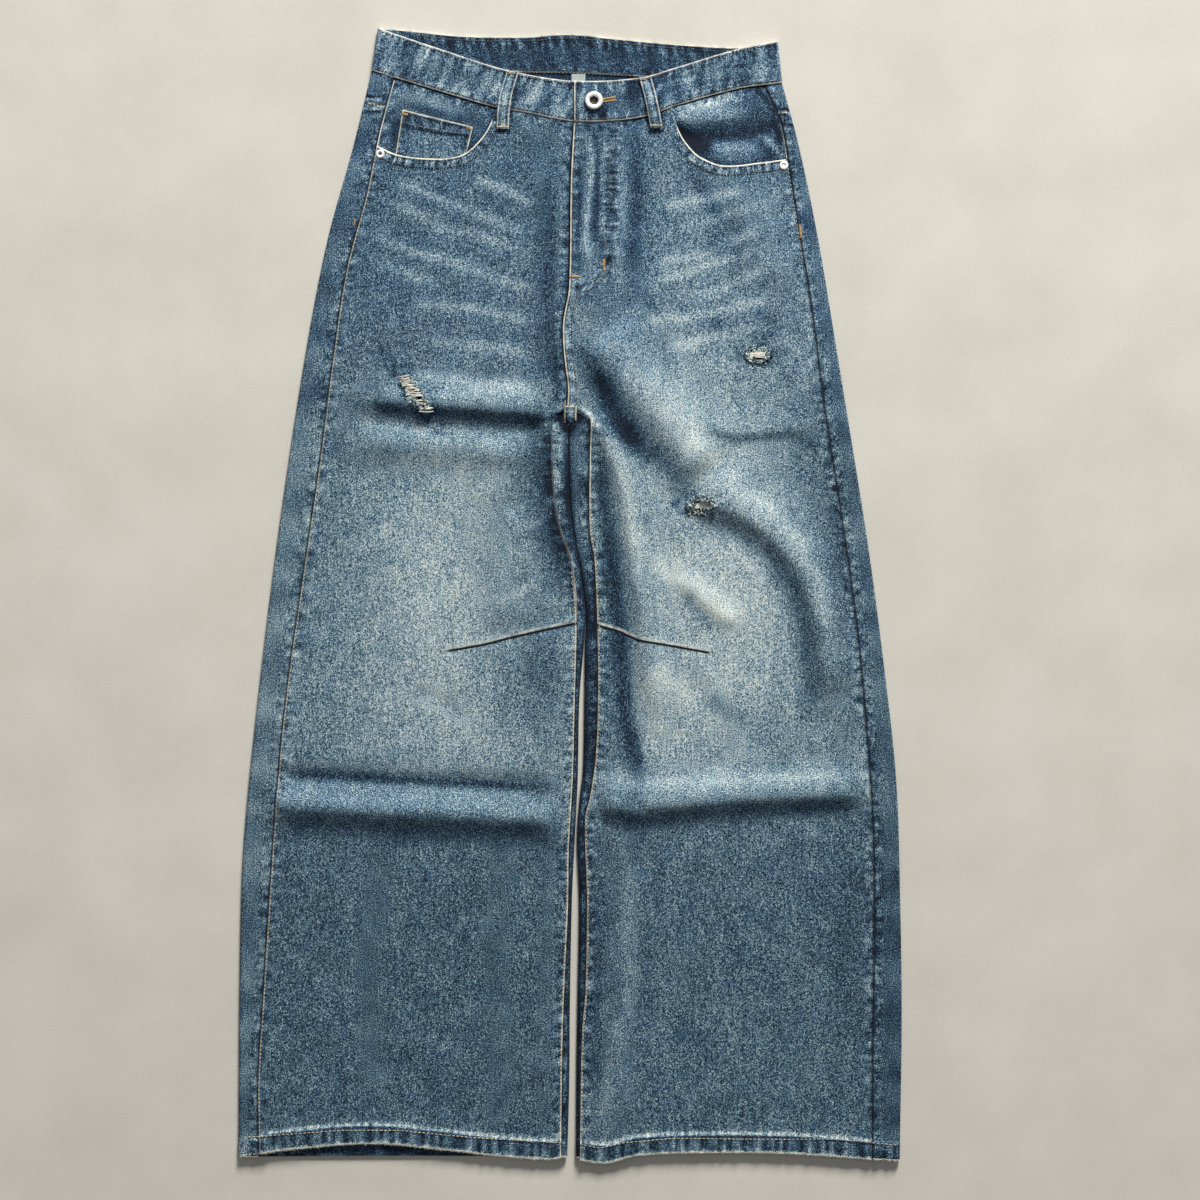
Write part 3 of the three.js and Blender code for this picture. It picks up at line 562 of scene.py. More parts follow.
@dataclass(frozen=True)
class Denim:
    """Washed twill: a tone from the cloth's own mark, with grain, upright slubs, mottling, a deeper
    blue towards the hips, pale rubbed rims, puckered seams with painted shade beside them, and the
    knee darts' painted highlight and painted shadow."""

    name: str
    tone: float | None = None
    grain: float = 2.0
    slub: float = 0.3

    def material(self) -> bpy.types.Material:
        """Builds the finish.

        Returns:
            The material.
        """
        nodes = Nodes(self.name)
        marked = self.tone is None
        tone = nodes.attribute("tone") if marked else nodes.noise((30, 30, 30)) * 0.1 + self.tone
        grain = nodes.noise((1150, 950, 900), 2.5)
        slub = nodes.noise((900, 70, 300), 2.0, 7.0)
        mottle = nodes.noise((60, 45, 60), 3.0, 3.0)
        woven = tone + grain * self.grain + slub * self.slub + mottle * 0.24
        if marked:
            seam = nodes.attribute("seam")
            puckered = seam.step(14.0, 2.0) * nodes.noise((140, 140, 140), 3.0, 9.0)
            woven = woven + puckered
        deep = nodes.height().step(0.13, 0.33) * 0.34 + nodes.noise((9, 7, 9), 2.0, 13.0) * 0.5 + 0.16
        deep = deep + nodes.noise((52, 44, 52), 2.5, 17.0) * 1.3
        colour = nodes.blend(deep, nodes.ramp(woven, BLUES), nodes.ramp(woven, DEEP_BLUES))
        if marked:
            wear = nodes.attribute("wear")
            rubbed = seam.step(1.5, 0.5) * wear * (nodes.noise((120, 120, 120), 3.0, 11.0) * 2.4 + 0.95)
            colour = nodes.blend(rubbed, colour, (*srgb(*RUBBED_RIM), 1.0))
            # Where the wear mark is below 0, the seam's edge takes a painted shade.
            colour = nodes.blend(seam.step(2.3, 0.9) * wear * -1.0, colour, (*srgb(*SEAM_SHADE), 1.0))
            dart, darted = nodes.attribute("dart"), nodes.attribute("darted")
            # The dart's lip takes a painted highlight and its groove a painted shadow.
            lip = dart.step(0.6, 1.2) * dart.step(4.2, 2.2)
            lip = lip * (nodes.noise((260, 260, 260), 2.0, 5.0) * 2.6 + 0.6)
            colour = nodes.blend(lip * darted, colour, (*srgb(*DART_LIP_HIGHLIGHT), 1.0))
            line = dart.step(-1.9, -1.0) * dart.step(1.1, 0.5) * darted
            colour = nodes.blend(line, colour, (*srgb(*DART_GROOVE_SHADOW), 1.0))
        twill = nodes.noise((1500, 700, 900), 1.0, 5.0)
        relief = grain * 0.9 + slub * 0.4 + twill * 0.3
        bump = nodes.add("ShaderNodeBump", {}, {"Strength": 0.42, "Distance": 0.0006, "Height": relief})
        return nodes.surface({"Base Color": colour, "Roughness": 0.88, "Normal": bump.outputs[0],
                              "Specular IOR Level": 0.2})


@dataclass(frozen=True)
class Yarn:
    """Cotton thread: a base colour that drifts between two tones along its length."""

    name: str
    dark: tuple[int, int, int]
    pale: tuple[int, int, int]

    def material(self) -> bpy.types.Material:
        """Builds the finish.

        Returns:
            The material.
        """
        nodes = Nodes(self.name)
        drift = nodes.noise((90, 90, 90), 2.0, 2.0) * 1.6 + 0.5
        fibre = nodes.noise((2200, 2200, 2200), 1.0)
        colour = nodes.ramp(drift + fibre * 0.5, ((0.1, srgb(*self.dark)), (0.9, srgb(*self.pale))))
        bump = nodes.add("ShaderNodeBump", {}, {"Strength": 0.3, "Distance": 0.0002, "Height": fibre})
        return nodes.surface({"Base Color": colour, "Roughness": 0.8, "Normal": bump.outputs[0]})


@dataclass(frozen=True)
class Metal:
    """Worn metal: its colour and gloss vary a little with fine scratches."""

    name: str
    colour: tuple[int, int, int]
    rough: float = 0.28
    grime: tuple[int, int, int] = (90, 88, 84)
    metallic: float = 0.85

    def material(self) -> bpy.types.Material:
        """Builds the finish.

        Returns:
            The material.
        """
        nodes = Nodes(self.name)
        wear = nodes.noise((420, 420, 420), 3.0)
        colour = nodes.blend(wear.step(0.02, 0.3), (*srgb(*self.colour), 1.0), (*srgb(*self.grime), 1.0))
        rough = wear * 0.3 + self.rough
        bump = nodes.add("ShaderNodeBump", {}, {"Strength": 0.15, "Distance": 0.0002, "Height": wear})
        return nodes.surface({"Base Color": colour, "Metallic": self.metallic, "Roughness": rough,
                              "Normal": bump.outputs[0]})


@dataclass(frozen=True)
class Plain:
    """Plain woven or cast stuff: one colour with faint mottling and grain."""

    name: str
    colour: tuple[int, int, int]
    other: tuple[int, int, int]
    scale: float = 900.0
    rough: float = 0.85
    cloud: float = 1.6

    def material(self) -> bpy.types.Material:
        """Builds the finish.

        Returns:
            The material.
        """
        nodes = Nodes(self.name)
        grain = nodes.noise((self.scale,) * 3, 3.0)
        wide = nodes.noise((self.scale / 60,) * 3, 4.0, 4.0)
        share = (grain * 0.8 + wide * self.cloud).step(-0.5, 0.5)
        colour = nodes.blend(share, (*srgb(*self.colour), 1.0), (*srgb(*self.other), 1.0))
        bump = nodes.add("ShaderNodeBump", {}, {"Strength": 0.15, "Distance": 0.0003, "Height": grain})
        return nodes.surface({"Base Color": colour, "Roughness": self.rough, "Normal": bump.outputs[0]})


class Finish(Enum):
    """The finishes, each built once."""

    DENIM = Denim("washed_denim")
    HIDDEN_DENIM = Denim("hidden_denim", tone=0.3)
    TOPSTITCH = Yarn("topstitch", (30, 36, 48), (96, 94, 88))
    TAN = Yarn("tan_topstitch", (124, 117, 100), (200, 190, 166))
    GOLD = Yarn("gold_topstitch", (136, 102, 56), (200, 164, 106))
    COTTON = Yarn("frayed_cotton", (190, 186, 172), (240, 236, 222))
    PALE_YARN = Yarn("frayed_pale", (138, 160, 164), (218, 224, 214))
    BLUE_YARN = Yarn("frayed_blue", (24, 42, 56), (104, 130, 142))
    SILVER = Metal("worn_nickel", (236, 236, 232), 0.42, (170, 168, 162), 0.35)
    CENTRE = Metal("dark_centre", (66, 60, 52), 0.5, (34, 30, 26))
    TAPE = Plain("zip_tape", (30, 34, 44), (44, 48, 60))
    LABEL = Plain("label_cloth", (122, 136, 138), (166, 174, 170))

    @property
    def material(self) -> bpy.types.Material:
        """The finish's material, made on first use."""
        if self not in MATERIALS:
            MATERIALS[self] = self.value.material()
        return MATERIALS[self]


MATERIALS: dict[Finish, bpy.types.Material] = {}


# ---------------------------------------------------------------- pieces
def quads_of(keep: Array) -> Array:
    """Corner numbers of a closed shell over a grid: face, inner side and a rim round every edge.

    Args:
        keep: Which cells of the grid are cloth, (rows - 1, columns - 1).

    Returns:
        Quads over the face's points followed by the inner points.
    """
    rows, columns = keep.shape[0] + 1, keep.shape[1] + 1
    number = np.arange(rows * columns).reshape(rows, columns)
    a, b, c, d = number[:-1, :-1], number[:-1, 1:], number[1:, 1:], number[1:, :-1]
    below = rows * columns
    framed = np.pad(keep, 1)
    sides = (
        (b, a, framed[:-2, 1:-1]),
        (d, c, framed[2:, 1:-1]),
        (a, d, framed[1:-1, :-2]),
        (c, b, framed[1:-1, 2:]),
    )
    parts = [np.stack([a, b, c, d], -1)[keep], np.stack([a, d, c, b], -1)[keep] + below]
    for start, end, beside in sides:
        rim = keep & ~beside
        parts.append(np.stack([start, end, end + below, start + below], -1)[rim])
    return np.concatenate(parts)


def piece(name: str, points: Array, faces: Array, finish: Finish, nodes: Sequence[str] = (),
          marks: dict[str, Array] | None = None, sharp: float = 55.0) -> bpy.types.Object:
    """Makes an object that rides on the jeans.

    Args:
        name: The piece's name.
        points: Corners in millimetres, (n, 3).
        faces: Corner numbers, all faces with the same number of corners.
        finish: Its finish.
        nodes: CAD nodes it stands for.
        marks: Numbers at each corner that the finish reads.
        sharp: Edges that turn more than this, in degrees, stay crisp.

    Returns:
        The object.
    """
    used, renumbered = np.unique(faces, return_inverse=True)
    faces = renumbered.reshape(faces.shape)
    points = points[used]
    mesh = bpy.data.meshes.new(name)
    size = faces.shape[1]
    mesh.vertices.add(len(points))
    mesh.vertices.foreach_set("co", (points * MM).astype(np.float32).ravel())
    mesh.loops.add(faces.size)
    mesh.loops.foreach_set("vertex_index", faces.astype(np.int32).ravel())
    mesh.polygons.add(len(faces))
    mesh.polygons.foreach_set("loop_start", np.arange(0, faces.size, size, dtype=np.int32))
    mesh.polygons.foreach_set("use_smooth", np.ones(len(faces), dtype=bool))
    mesh.update(calc_edges=True)
    for key, values in (marks or {}).items():
        layer = mesh.attributes.new(key, "FLOAT", "POINT")
        layer.data.foreach_set("value", values.ravel()[used].astype(np.float32))
    mesh.validate()
    mesh.set_sharp_from_angle(angle=math.radians(sharp))
    mesh.materials.append(finish.material)
    thing = bpy.data.objects.new(name, mesh)
    bpy.context.scene.collection.objects.link(thing)
    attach(thing, "root")
    if nodes:
        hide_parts(*nodes)
    LOG.info("%s: %d faces", name, len(faces))
    return thing


class Ground:
    """Height of the uppermost cloth so far, on a raster, for what is sewn onto it."""

    cell = 2.0
    corner = (-330.0, -560.0)

    def __init__(self) -> None:
        """Starts empty."""
        self.heights = np.zeros((330, 560))

    def lay(self, face: Array) -> None:
        """Notes a cloth's face: its points, and points halfway between them."""
        for axis in (0, 1):
            ahead = face.take(range(1, face.shape[axis]), axis)
            behind = face.take(range(face.shape[axis] - 1), axis)
            middle = (ahead + behind) / 2
            face = np.concatenate([face, middle], axis)
        x, y, z = face.reshape(-1, 3).T
        i = ((x - self.corner[0]) / self.cell).astype(int)
        j = ((y - self.corner[1]) / self.cell).astype(int)
        np.maximum.at(self.heights, (i, j), z)

    def __call__(self, x: Array, y: Array) -> Array:
        """Height at (x, y), between the raster's four nearest cells."""
        u = (np.asarray(x) - self.corner[0]) / self.cell - 0.5
        v = (np.asarray(y) - self.corner[1]) / self.cell - 0.5
        i, j = np.floor(u).astype(int), np.floor(v).astype(int)
        a, b = u - i, v - j
        h = self.heights
        return mix(mix(h[i, j], h[i + 1, j], a), mix(h[i, j + 1], h[i + 1, j + 1], a), b)


GROUND = Ground()


@dataclass
class Cloth:
    """A piece of cloth on a grid: its face, which way the face looks, its thickness and its marks.
    The lining holds those marks that differ on its inner side. A mirrored piece takes its columns
    from last to first, so that its faces point outwards."""

    face: Array
    thick: Any
    look: Array | None = None
    keep: Array | None = None
    marks: dict[str, Array] = field(default_factory=dict)
    lining: dict[str, Any] = field(default_factory=dict)
    mirrored: bool = False

    def build(self, name: str, nodes: Sequence[str], slot: str,
              finish: Finish = Finish.DENIM) -> bpy.types.Object:
        """Makes the closed sheet: its inner side lies one thickness behind its face.

        Args:
            name: The piece's name.
            nodes: CAD nodes it stands for.
            slot: Not used.
            finish: Its finish.

        Returns:
            The object.
        """
        rows, columns = self.face.shape[:2]
        order = slice(None, None, -1 if self.mirrored else 1)
        keep = np.ones((rows - 1, columns - 1), bool) if self.keep is None else self.keep[:, order]
        face = self.face[:, order]
        look = np.broadcast_to(UP if self.look is None else self.look, self.face.shape)[:, order]
        inner = face - look * np.broadcast_to(self.thick, (rows, columns))[:, order, None]
        points = np.concatenate([face.reshape(-1, 3), inner.reshape(-1, 3)])
        marks = {}
        for key, value in self.marks.items():
            sides = (value, self.lining.get(key, value))
            spread = [np.broadcast_to(side, (rows, columns))[:, order].ravel() for side in sides]
            marks[key] = np.concatenate(spread)
        GROUND.lay(np.where(look[..., 2:] < -0.2, inner, face))
        return piece(name, points, quads_of(keep), finish, nodes, marks)


def xyz(x: Array, y: Array, z: Array) -> Array:
    """Points from three grids."""
    return np.stack(np.broadcast_arrays(x, y, z), -1).astype(float)


def tubes(paths: Array, radius: Any) -> tuple[Array, Array]:
    """Closed six-sided tubes along many paths of the same number of points.

    Args:
        paths: Points, (count, steps, 3).
        radius: Radius, as one number or one for each point, (count, steps).

    Returns:
        Points and quads: each point of a path carries a ring of the section, square to the path,
        and a cap closes each end.
    """
    sides = 6
    count, steps = paths.shape[:2]
    along = np.gradient(paths, axis=1)
    along /= np.maximum(np.linalg.norm(along, axis=-1, keepdims=True), 1e-9)
    across = np.cross(along, (0.0, 0.0, 1.0))
    across /= np.maximum(np.linalg.norm(across, axis=-1, keepdims=True), 1e-9)
    over = np.cross(across, along)
    turn = np.linspace(0, 2 * math.pi, sides, endpoint=False)
    wide = np.broadcast_to(radius, (count, steps))[..., None, None]
    ring = across[:, :, None] * np.cos(turn)[:, None] + over[:, :, None] * np.sin(turn)[:, None]
    points = paths[:, :, None] + ring * wide
    number = np.arange(count * steps * sides).reshape(count, steps, sides)
    after = np.roll(number, -1, axis=2)
    walls = np.stack([number[:, :-1], number[:, 1:], after[:, 1:], after[:, :-1]], -1).reshape(-1, 4)
    starts = number[:, 0][:, ((0, 1, 2, 3), (0, 3, 4, 5))].reshape(-1, 4)
    finals = number[:, -1][:, ((3, 2, 1, 0), (5, 4, 3, 0))].reshape(-1, 4)
    return points.reshape(-1, 3), np.concatenate([walls, starts, finals])


def beads(ends: Array, radius: float) -> tuple[Array, Array]:
    """Stitches: short threads that rise out of the cloth and dip back into it.

    Args:
        ends: Each stitch's two ends, (count, 2, 3), in millimetres.
        radius: The thread's radius.

    Returns:
        Points and quads of all the stitches, each an arch of four rings.
    """
    shares = np.array((0.0, 0.22, 0.78, 1.0))
    rise = np.array((-0.75, 0.3, 0.3, -0.75)) * radius * 1.6
    paths = mix(ends[:, :1], ends[:, 1:], shares[None, :, None])
    paths[..., 2] += rise
    return tubes(paths, radius * np.array((0.55, 1.0, 1.0, 0.55)))


@dataclass
class Stitching:
    """Runs of topstitch gathered into one object."""

    name: str
    finish: Finish = Finish.TOPSTITCH
    pitch: float = 3.4
    radius: float = 0.42
    ends: list[Array] = field(default_factory=list)

    def run(self, path: Path, height: Height, closed_share: float = 0.74) -> "Stitching":
        """Adds a run of stitches along a path, on a surface.

        Args:
            path: Corners as (x, y), in millimetres.
            height: Height of the cloth at (x, y).
            closed_share: Share of each pitch that thread covers.

        Returns:
            Itself, so that runs can be chained.
        """
        corners = np.array(path, float)
        passed = passed_along(corners)
        count = max(int(passed[-1] / self.pitch), 1)
        starts = (np.arange(count) + (1 - closed_share) / 2) * passed[-1] / count
        places = np.stack([starts, starts + closed_share * passed[-1] / count], -1)
        x = np.interp(places, passed, corners[:, 0])
        y = np.interp(places, passed, corners[:, 1])
        self.ends.append(xyz(x, y, height(x, y)))
        return self

    def build(self, slot: str = "topstitch") -> bpy.types.Object:
        """Makes the object of all its runs."""
        points, faces = beads(np.concatenate(self.ends), self.radius)
        return piece(self.name, points, faces, self.finish, ())


def beside_of(path: Path, away: float) -> Path:
    """The path moved sideways, to its left where away is positive, in millimetres."""
    corners = np.array(path, float)
    along = np.gradient(corners, axis=0)
    along /= np.maximum(np.linalg.norm(along, axis=1, keepdims=True), 1e-9)
    return (corners + away * np.stack([-along[:, 1], along[:, 0]], -1)).tolist()


# ---------------------------------------------------------------- tones
@dataclass(frozen=True)
class Spot:
    """A soft oval where the cloth is paler (gain above 0) or darker."""

    gain: float
    x: float
    y: float
    wide: float
    tall: float

    def at(self, x: Array, y: Array) -> Array:
        """Its gain times a bell over the oval."""
        return self.gain * np.exp(-(((x - self.x) / self.wide) ** 2) - ((y - self.y) / self.tall) ** 2)


@dataclass(frozen=True)
class Streak:
    """A worn or dark streak along a path, with soft ends."""

    gain: float
    reach: float
    path: Path

    def at(self, x: Array, y: Array) -> Array:
        """Its gain times a bell of the distance, faded at both ends."""
        near = nearest(self.path, x, y)
        ends = smooth(near.share / 0.2 + 0.15) * smooth((1 - near.share) / 0.2 + 0.15)
        return self.gain * ends * bell(near.distance, self.reach)


def spots(*rows: Sequence[float]) -> tuple[Spot, ...]:
    """Spots from rows of their fields."""
    return tuple(Spot(*row) for row in rows)


def streaks(*rows: Sequence[Any]) -> tuple[Streak, ...]:
    """Streaks from rows of gain, reach and corners."""
    return tuple(Streak(gain, reach, path) for gain, reach, *path in rows)


BASE_TONE = {
    RIGHT: Line(((-530, 0.26), (-470, 0.285), (-240, 0.295), (-205, 0.36), (-150, 0.42), (0, 0.42),
                 (160, 0.38), (260, 0.3), (450, 0.29))),
    LEFT: Line(((-530, 0.27), (-470, 0.31), (-240, 0.31), (-200, 0.39), (-150, 0.45), (0, 0.44), (160, 0.43),
                (300, 0.38), (450, 0.34))),
}
WORN = spots(
    (0.16, -112, 0, 62, 140), (0.08, -80, 110, 60, 40), (0.18, -72, 193, 55, 9), (0.07, -130, -130, 70, 50),
    (0.03, -80, 300, 80, 60), (-0.07, -262, 60, 22, 200), (-0.05, -230, 130, 30, 40),
    (-0.06, -20, 0, 14, 60), (0.2, 150, 20, 70, 130), (0.1, 95, 170, 70, 50), (0.08, 130, -130, 80, 50),
    (-0.05, 190, 100, 34, 50), (-0.08, 262, 0, 18, 240), (0.03, 130, 330, 50, 90),
    (-0.15, 244, 110, 34, 90), (-0.1, 262, 20, 20, 60), (-0.08, -36, 90, 30, 60), (-0.1, 24, 370, 24, 66),
    (-0.05, 262, -330, 26, 130), (0.05, -160, 30, 40, 80), (0.06, 150, -522, 160, 22),
    (0.06, -160, -518, 160, 22), (-0.1, -30, -80, 26, 40), (-0.07, -62, -70, 50, 42),
    (-0.06, -130, 440, 34, 16), (-0.07, 188, -135, 34, 42), (-0.14, 58, -190, 11, 8),
)
WHISKERS = streaks(
    (0.227, 4.5, (-93, 395), (-62, 384), (-31, 368)),
    (0.192, 4.5, (-170, 394), (-136, 381), (-100, 365), (-64, 352), (-35, 341)),
    (0.174, 4.5, (-177, 374), (-145, 363), (-125, 347), (-89, 341), (-31, 322)),
    (0.174, 5.4, (-190, 345), (-154, 326), (-113, 316), (-64, 298), (-31, 289)),
    (0.139, 4.5, (-189, 316), (-148, 302), (-120, 296)), (0.174, 5.4, (-150, 278), (-89, 271), (-31, 259)),
    (0.174, 5.4, (-136, 242), (-89, 237), (-31, 228)), (0.157, 5.4, (-150, 210), (-90, 203), (-30, 199)),
    (0.209, 5.4, (88, 368), (115, 373), (172, 383)), (0.122, 5.4, (96, 346), (140, 358), (190, 372)),
    (0.174, 5.4, (74, 314), (123, 321), (147, 331), (188, 352)),
    (0.157, 4.5, (79, 296), (130, 312), (188, 331)), (0.139, 5.4, (107, 279), (147, 291), (188, 311)),
    (0.174, 5.4, (63, 261), (107, 262), (164, 274), (196, 284)),
    (0.174, 5.4, (91, 233), (123, 242), (188, 258)),
)
# Streaks of wear, and streaks of painted shade in the folds' troughs and beside seams and of painted light
# along the folds' crests.
WEAR_AND_SHADING_STREAKS = streaks(
    (-0.16, 6, (-12, 236), (-13, 200), (-12, 182)), (0.12, 10, (110, 152), (126, 138), (144, 124)),
    (-0.08, 8, (118, 262), (160, 262), (200, 262)), (-0.06, 8, (130, 331), (160, 327), (182, 325)),
    (0.3, 1.6, (9, 180), (16, 176), (20.5, 169), (22.5, 156)), (0.1, 4, (-55, 62), (-30, 72), (-12, 84)),
    (0.08, 5, (-70, -8), (-44, 8), (-14, 26)), (-0.1, 7, (60, 440), (60, 400), (59, 350), (56, 300)),
    (-0.05, 8, (250, 190), (262, 100), (268, 0)),
    (0.22, 3.5, (16, 438), (22, 412), (17, 370), (14, 335), (22, 312)),
    (0.18, 3, (33, 440), (30, 396), (32, 356), (26, 322)),
    (-0.18, 4.5, (25, 436), (27, 390), (23, 350), (34, 318)),
    (-0.16, 3, (8, 430), (9, 380), (7, 330), (10, 302)),
    (-0.12, 2.4, (40, 440), (40, 400), (37.5, 342), (36, 314), (27, 298), (12, 290)),
    (0.1, 9, (54, -235), (56, -300), (54, -380), (46, -410), (38, -437), (33, -480), (28, -503)),
    (-0.1, 8, (24, -250), (26, -330), (23, -400), (20, -480)), (-0.1, 9, (125, 335), (165, 322)),
    (-0.12, 8, (130, 252), (166, 250), (200, 246)),
    (-0.3, 8.5, (21, 156), (28, 124), (31, 92), (38, 50), (43, 9), (49, -54), (54, -116), (63, -158),
     (70, -192)),
    (-0.14, 15, (27, 70), (34, 0), (40, -60), (44, -120), (54, -170)),
    (-0.2, 15, (-20, 175), (-25, 130), (-23, 90), (-14, 50), (-4, 0)),
    (-0.14, 6, (-20, 160), (-21, 130), (-19, 95), (-12, 62), (-4, 30)),
    (-0.1, 8, (28, -30), (29, -100), (34, -170)), (0.13, 11, (76, -62), (98, -82), (124, -100)),
    (-0.12, 9, (130, -90), (150, -108), (172, -124)), (-0.07, 11, (8, 440), (30, 446), (58, 447)),
    (-0.22, 10, (4, 240), (13, 231), (25, 208), (37, 187), (47, 167), (60, 148), (81, 134), (99, 116),
     (113, 97), (130, 82)),
    (-0.24, 14, (22, 214), (33, 193), (44, 172), (58, 154), (72, 144)),
    (-0.22, 12, (112, 78), (150, 67), (186, 42), (210, 8), (222, -36), (226, -80), (228, -130)),
    (0.17, 8, (35, 156), (46, 124), (54, 92), (61, 50), (66, 9)),
    (0.1, 14, (72, -60), (80, -116), (88, -150)), (0.16, 7, (76, 36), (98, 16), (124, -6), (160, -30)),
    (0.07, 15, (52, 222), (62, 208), (84, 188), (104, 166), (122, 140)),
    (-0.14, 12, (34, 176), (48, 158), (64, 140), (80, 124)),
    (0.12, 8, (150, 106), (188, 84), (216, 50), (236, 8), (246, -40)),
    (0.1, 9, (66, 52), (96, 30), (130, 6), (170, -24)), (-0.2, 7, (108, 6), (118, -12), (138, -34)),
    (-0.15, 4.5, (128, 174), (136, 156), (156, 147), (179, 151), (205, 153), (222, 148), (236, 137)),
    (-0.08, 4, (195, 183), (218, 169)), (-0.1, 3, (66, 286), (80, 270), (96, 254)),
    (-0.1, 5, (150, 318), (160, 288)),
    (-0.14, 8, (-22, 400), (-20, 350), (-21, 300), (-21, 240), (-22, 190)),
    (0.08, 5, (-10, 440), (-8, 390), (-9, 330), (-12, 270), (-14, 220)),
    (-0.33, 5, (-285, -165), (-141, -173), (-5, -181)), (-0.1, 12, (-285, -216), (-141, -222), (-5, -228)),
    (-0.12, 9, (24, -210), (60, -216), (110, -210), (180, -204), (285, -196)),
    (0.1, 6, (30, -175), (110, -175), (200, -170), (285, -168)),
    (-0.1, 8, (92, 440), (112, 410), (126, 380), (146, 340)), (0.08, 8, (108, 438), (128, 402), (146, 370)),
    (-0.12, 9, (67, 440), (66, 400), (64, 350), (62, 300), (58, 270)),
    (0.09, 5, (52, 430), (50, 380), (48, 330), (42, 300)), (-0.14, 8, (-205, 178), (-94, 170), (-16, 163)),
    (0.1, 6, (-200, 165), (-165, 164), (-120, 162)), (0.07, 9, (90, 455), (100, 430), (114, 398)),
    (-0.06, 12, (118, 412), (140, 376), (162, 330)),
)


# Painted shadow in the pits round the crotch's cross, on the fronts and on the backs' strips.
CROTCH_PIT_SHADOWS = spots(
    (-0.9, -9.4, 168.5, 3.0, 4.6), (-0.9, 8.6, 169.5, 2.8, 4.2), (-1.0, -2.0, 160.0, 5.6, 3.4),
)


# Where the yoke's double seam comes round to the side: a dark line above, a pale band, a dark line below.
YOKE_BANDS = {
    RIGHT: streaks(
        (-0.34, 1.3, (-205, 472.6), (-176, 471.2)), (0.34, 1.4, (-205, 469.6), (-176, 468.4)),
        (0.22, 1.3, (-205, 460.6), (-176, 459.4)), (-0.3, 1.3, (-205, 457.6), (-176, 456.4)),
    ),
    LEFT: streaks(
        (-0.34, 1.3, (194, 459.6), (212, 458.6)), (0.3, 1.3, (194, 456.6), (212, 455.6)),
        (0.22, 1.3, (194, 448.4), (212, 447.4)), (-0.34, 1.3, (194, 445.4), (212, 444.4)),
    ),
}


def loop_shade(x: Array, y: Array) -> Array:
    """Painted shadow: the dark line to the left side of each front loop, a fainter one to its right, and one
    under its foot.
    """
    shade = np.zeros(np.broadcast(x, y).shape)
    for path in FRONT_LOOPS.values():
        path_x, path_y = zip(*path)
        off = x - np.interp(y, path_y, path_x)
        above = smooth((y - path_y[0] + 1.5) / 1.5)
        shade = shade - 0.34 * bell(off - 6.9, 1.3) * above - 0.12 * bell(off + 6.6, 1.0) * above
        shade = shade - 0.34 * bell(y - path_y[0] + 2.2, 1.3) * smooth((7.5 - np.abs(off)) / 1.5)
    return shade


def wear_and_shading_tone(side: int, x: Array, y: Array) -> Array:
    """Tone of the cloth from dark (0) to pale (1): a base by height, soft worn ovals, whiskers, streaks of
    wear and of painted shade and light, and painted shadow in the crotch's pits and beside the loops.
    """
    marks = sum(mark.at(x, y) for mark in WORN + WHISKERS + WEAR_AND_SHADING_STREAKS + CROTCH_PIT_SHADOWS)
    return BASE_TONE[side](y) + marks + loop_shade(x, y)


@dataclass(frozen=True)
class SeamLook:
    """How a seam marks the cloth beside it: puckers over a width, with their size and tone, and the rim's
    wear, pale above 0 and in dark shade below 0."""

    width: float
    period: float
    pucker: float
    tone: float
    rim: float
    ridge: float = 0.5

    def falloff(self, gap: Array) -> Array:
        """Full beside the seam, none beyond its width."""
        return smooth((1.25 * self.width - gap) / (0.5 * self.width))


OUTER_LOOK = {RIGHT: SeamLook(8, 9, 0.16, 0.07, 0.5, 0.8), LEFT: SeamLook(8, 9, 0.2, 0.07, -0.6, 0.3)}
INNER_LOOK = SeamLook(9, 11, 0.24, 0.09, 0.4, 0.6)
HEM_LOOK = SeamLook(15, 13, 0.4, 0.15, 1.25, 0.0)
SCOOP_LOOK = SeamLook(9.5, 6.2, 0.24, 0.2, 1.1, 0.5)
YOKE_LOOK = SeamLook(9, 6, 0.15, 0.1, 0.7, 0.5)
FLY_LOOK = SeamLook(6.5, 4.2, 0.16, 0.13, 0.0, 0.35)
EDGE_ROLL = 1.4  # how far in from its edge a piece is rounded over
# Rim wear of a piece's edge that lies in the shade of the one sewn over it.
SUNK = -0.85
FAR = 50.0  # a distance beyond every seam's reach
# Rim wear beside the fronts' inner edges, by height: pale above 0, painted shade below 0.
INNER_RIM = {
    RIGHT: Line(((-530, 0.6), (-10, 0.5), (20, 0.1), (165, 0.0), (185, -0.9), (448, -0.9))),
    LEFT: Line(((-530, 0.5), (-20, 0.55), (10, 1.0), (165, 0.9), (182, 0.8), (290, 1.05), (448, 1.1))),
}
# Rim wear beside the back strips' inseams, by height: pale above 0, painted shade below 0.
STRIP_RIM = {
    RIGHT: Line(((-530, -0.6), (-40, -0.6), (-5, 0.5), (40, 0.4), (84, 0.12), (160, 0.05))),
    LEFT: Line(((-530, -0.8), (-20, -0.8), (20, -0.7), (160, -0.5))),
}
# Painted shadow on the back strips beside the inseams, by height.
STRIP_SHADOW = {
    RIGHT: Line(((-530, 0.0), (160, 0.0))),
    LEFT: Line(((-530, 0.1), (-30, 0.15), (10, 0.3), (160, 0.3))),
}
# Painted shadow on the fronts beside their inner edges, by height.
INNER_SHADOW = {
    RIGHT: Line(((-530, 0.0), (-30, 0.0), (10, 0.3), (70, 0.22), (150, 0.05), (190, 0.12), (448, 0.1))),
    LEFT: Line(((-530, 0.0), (448, 0.0))),
}


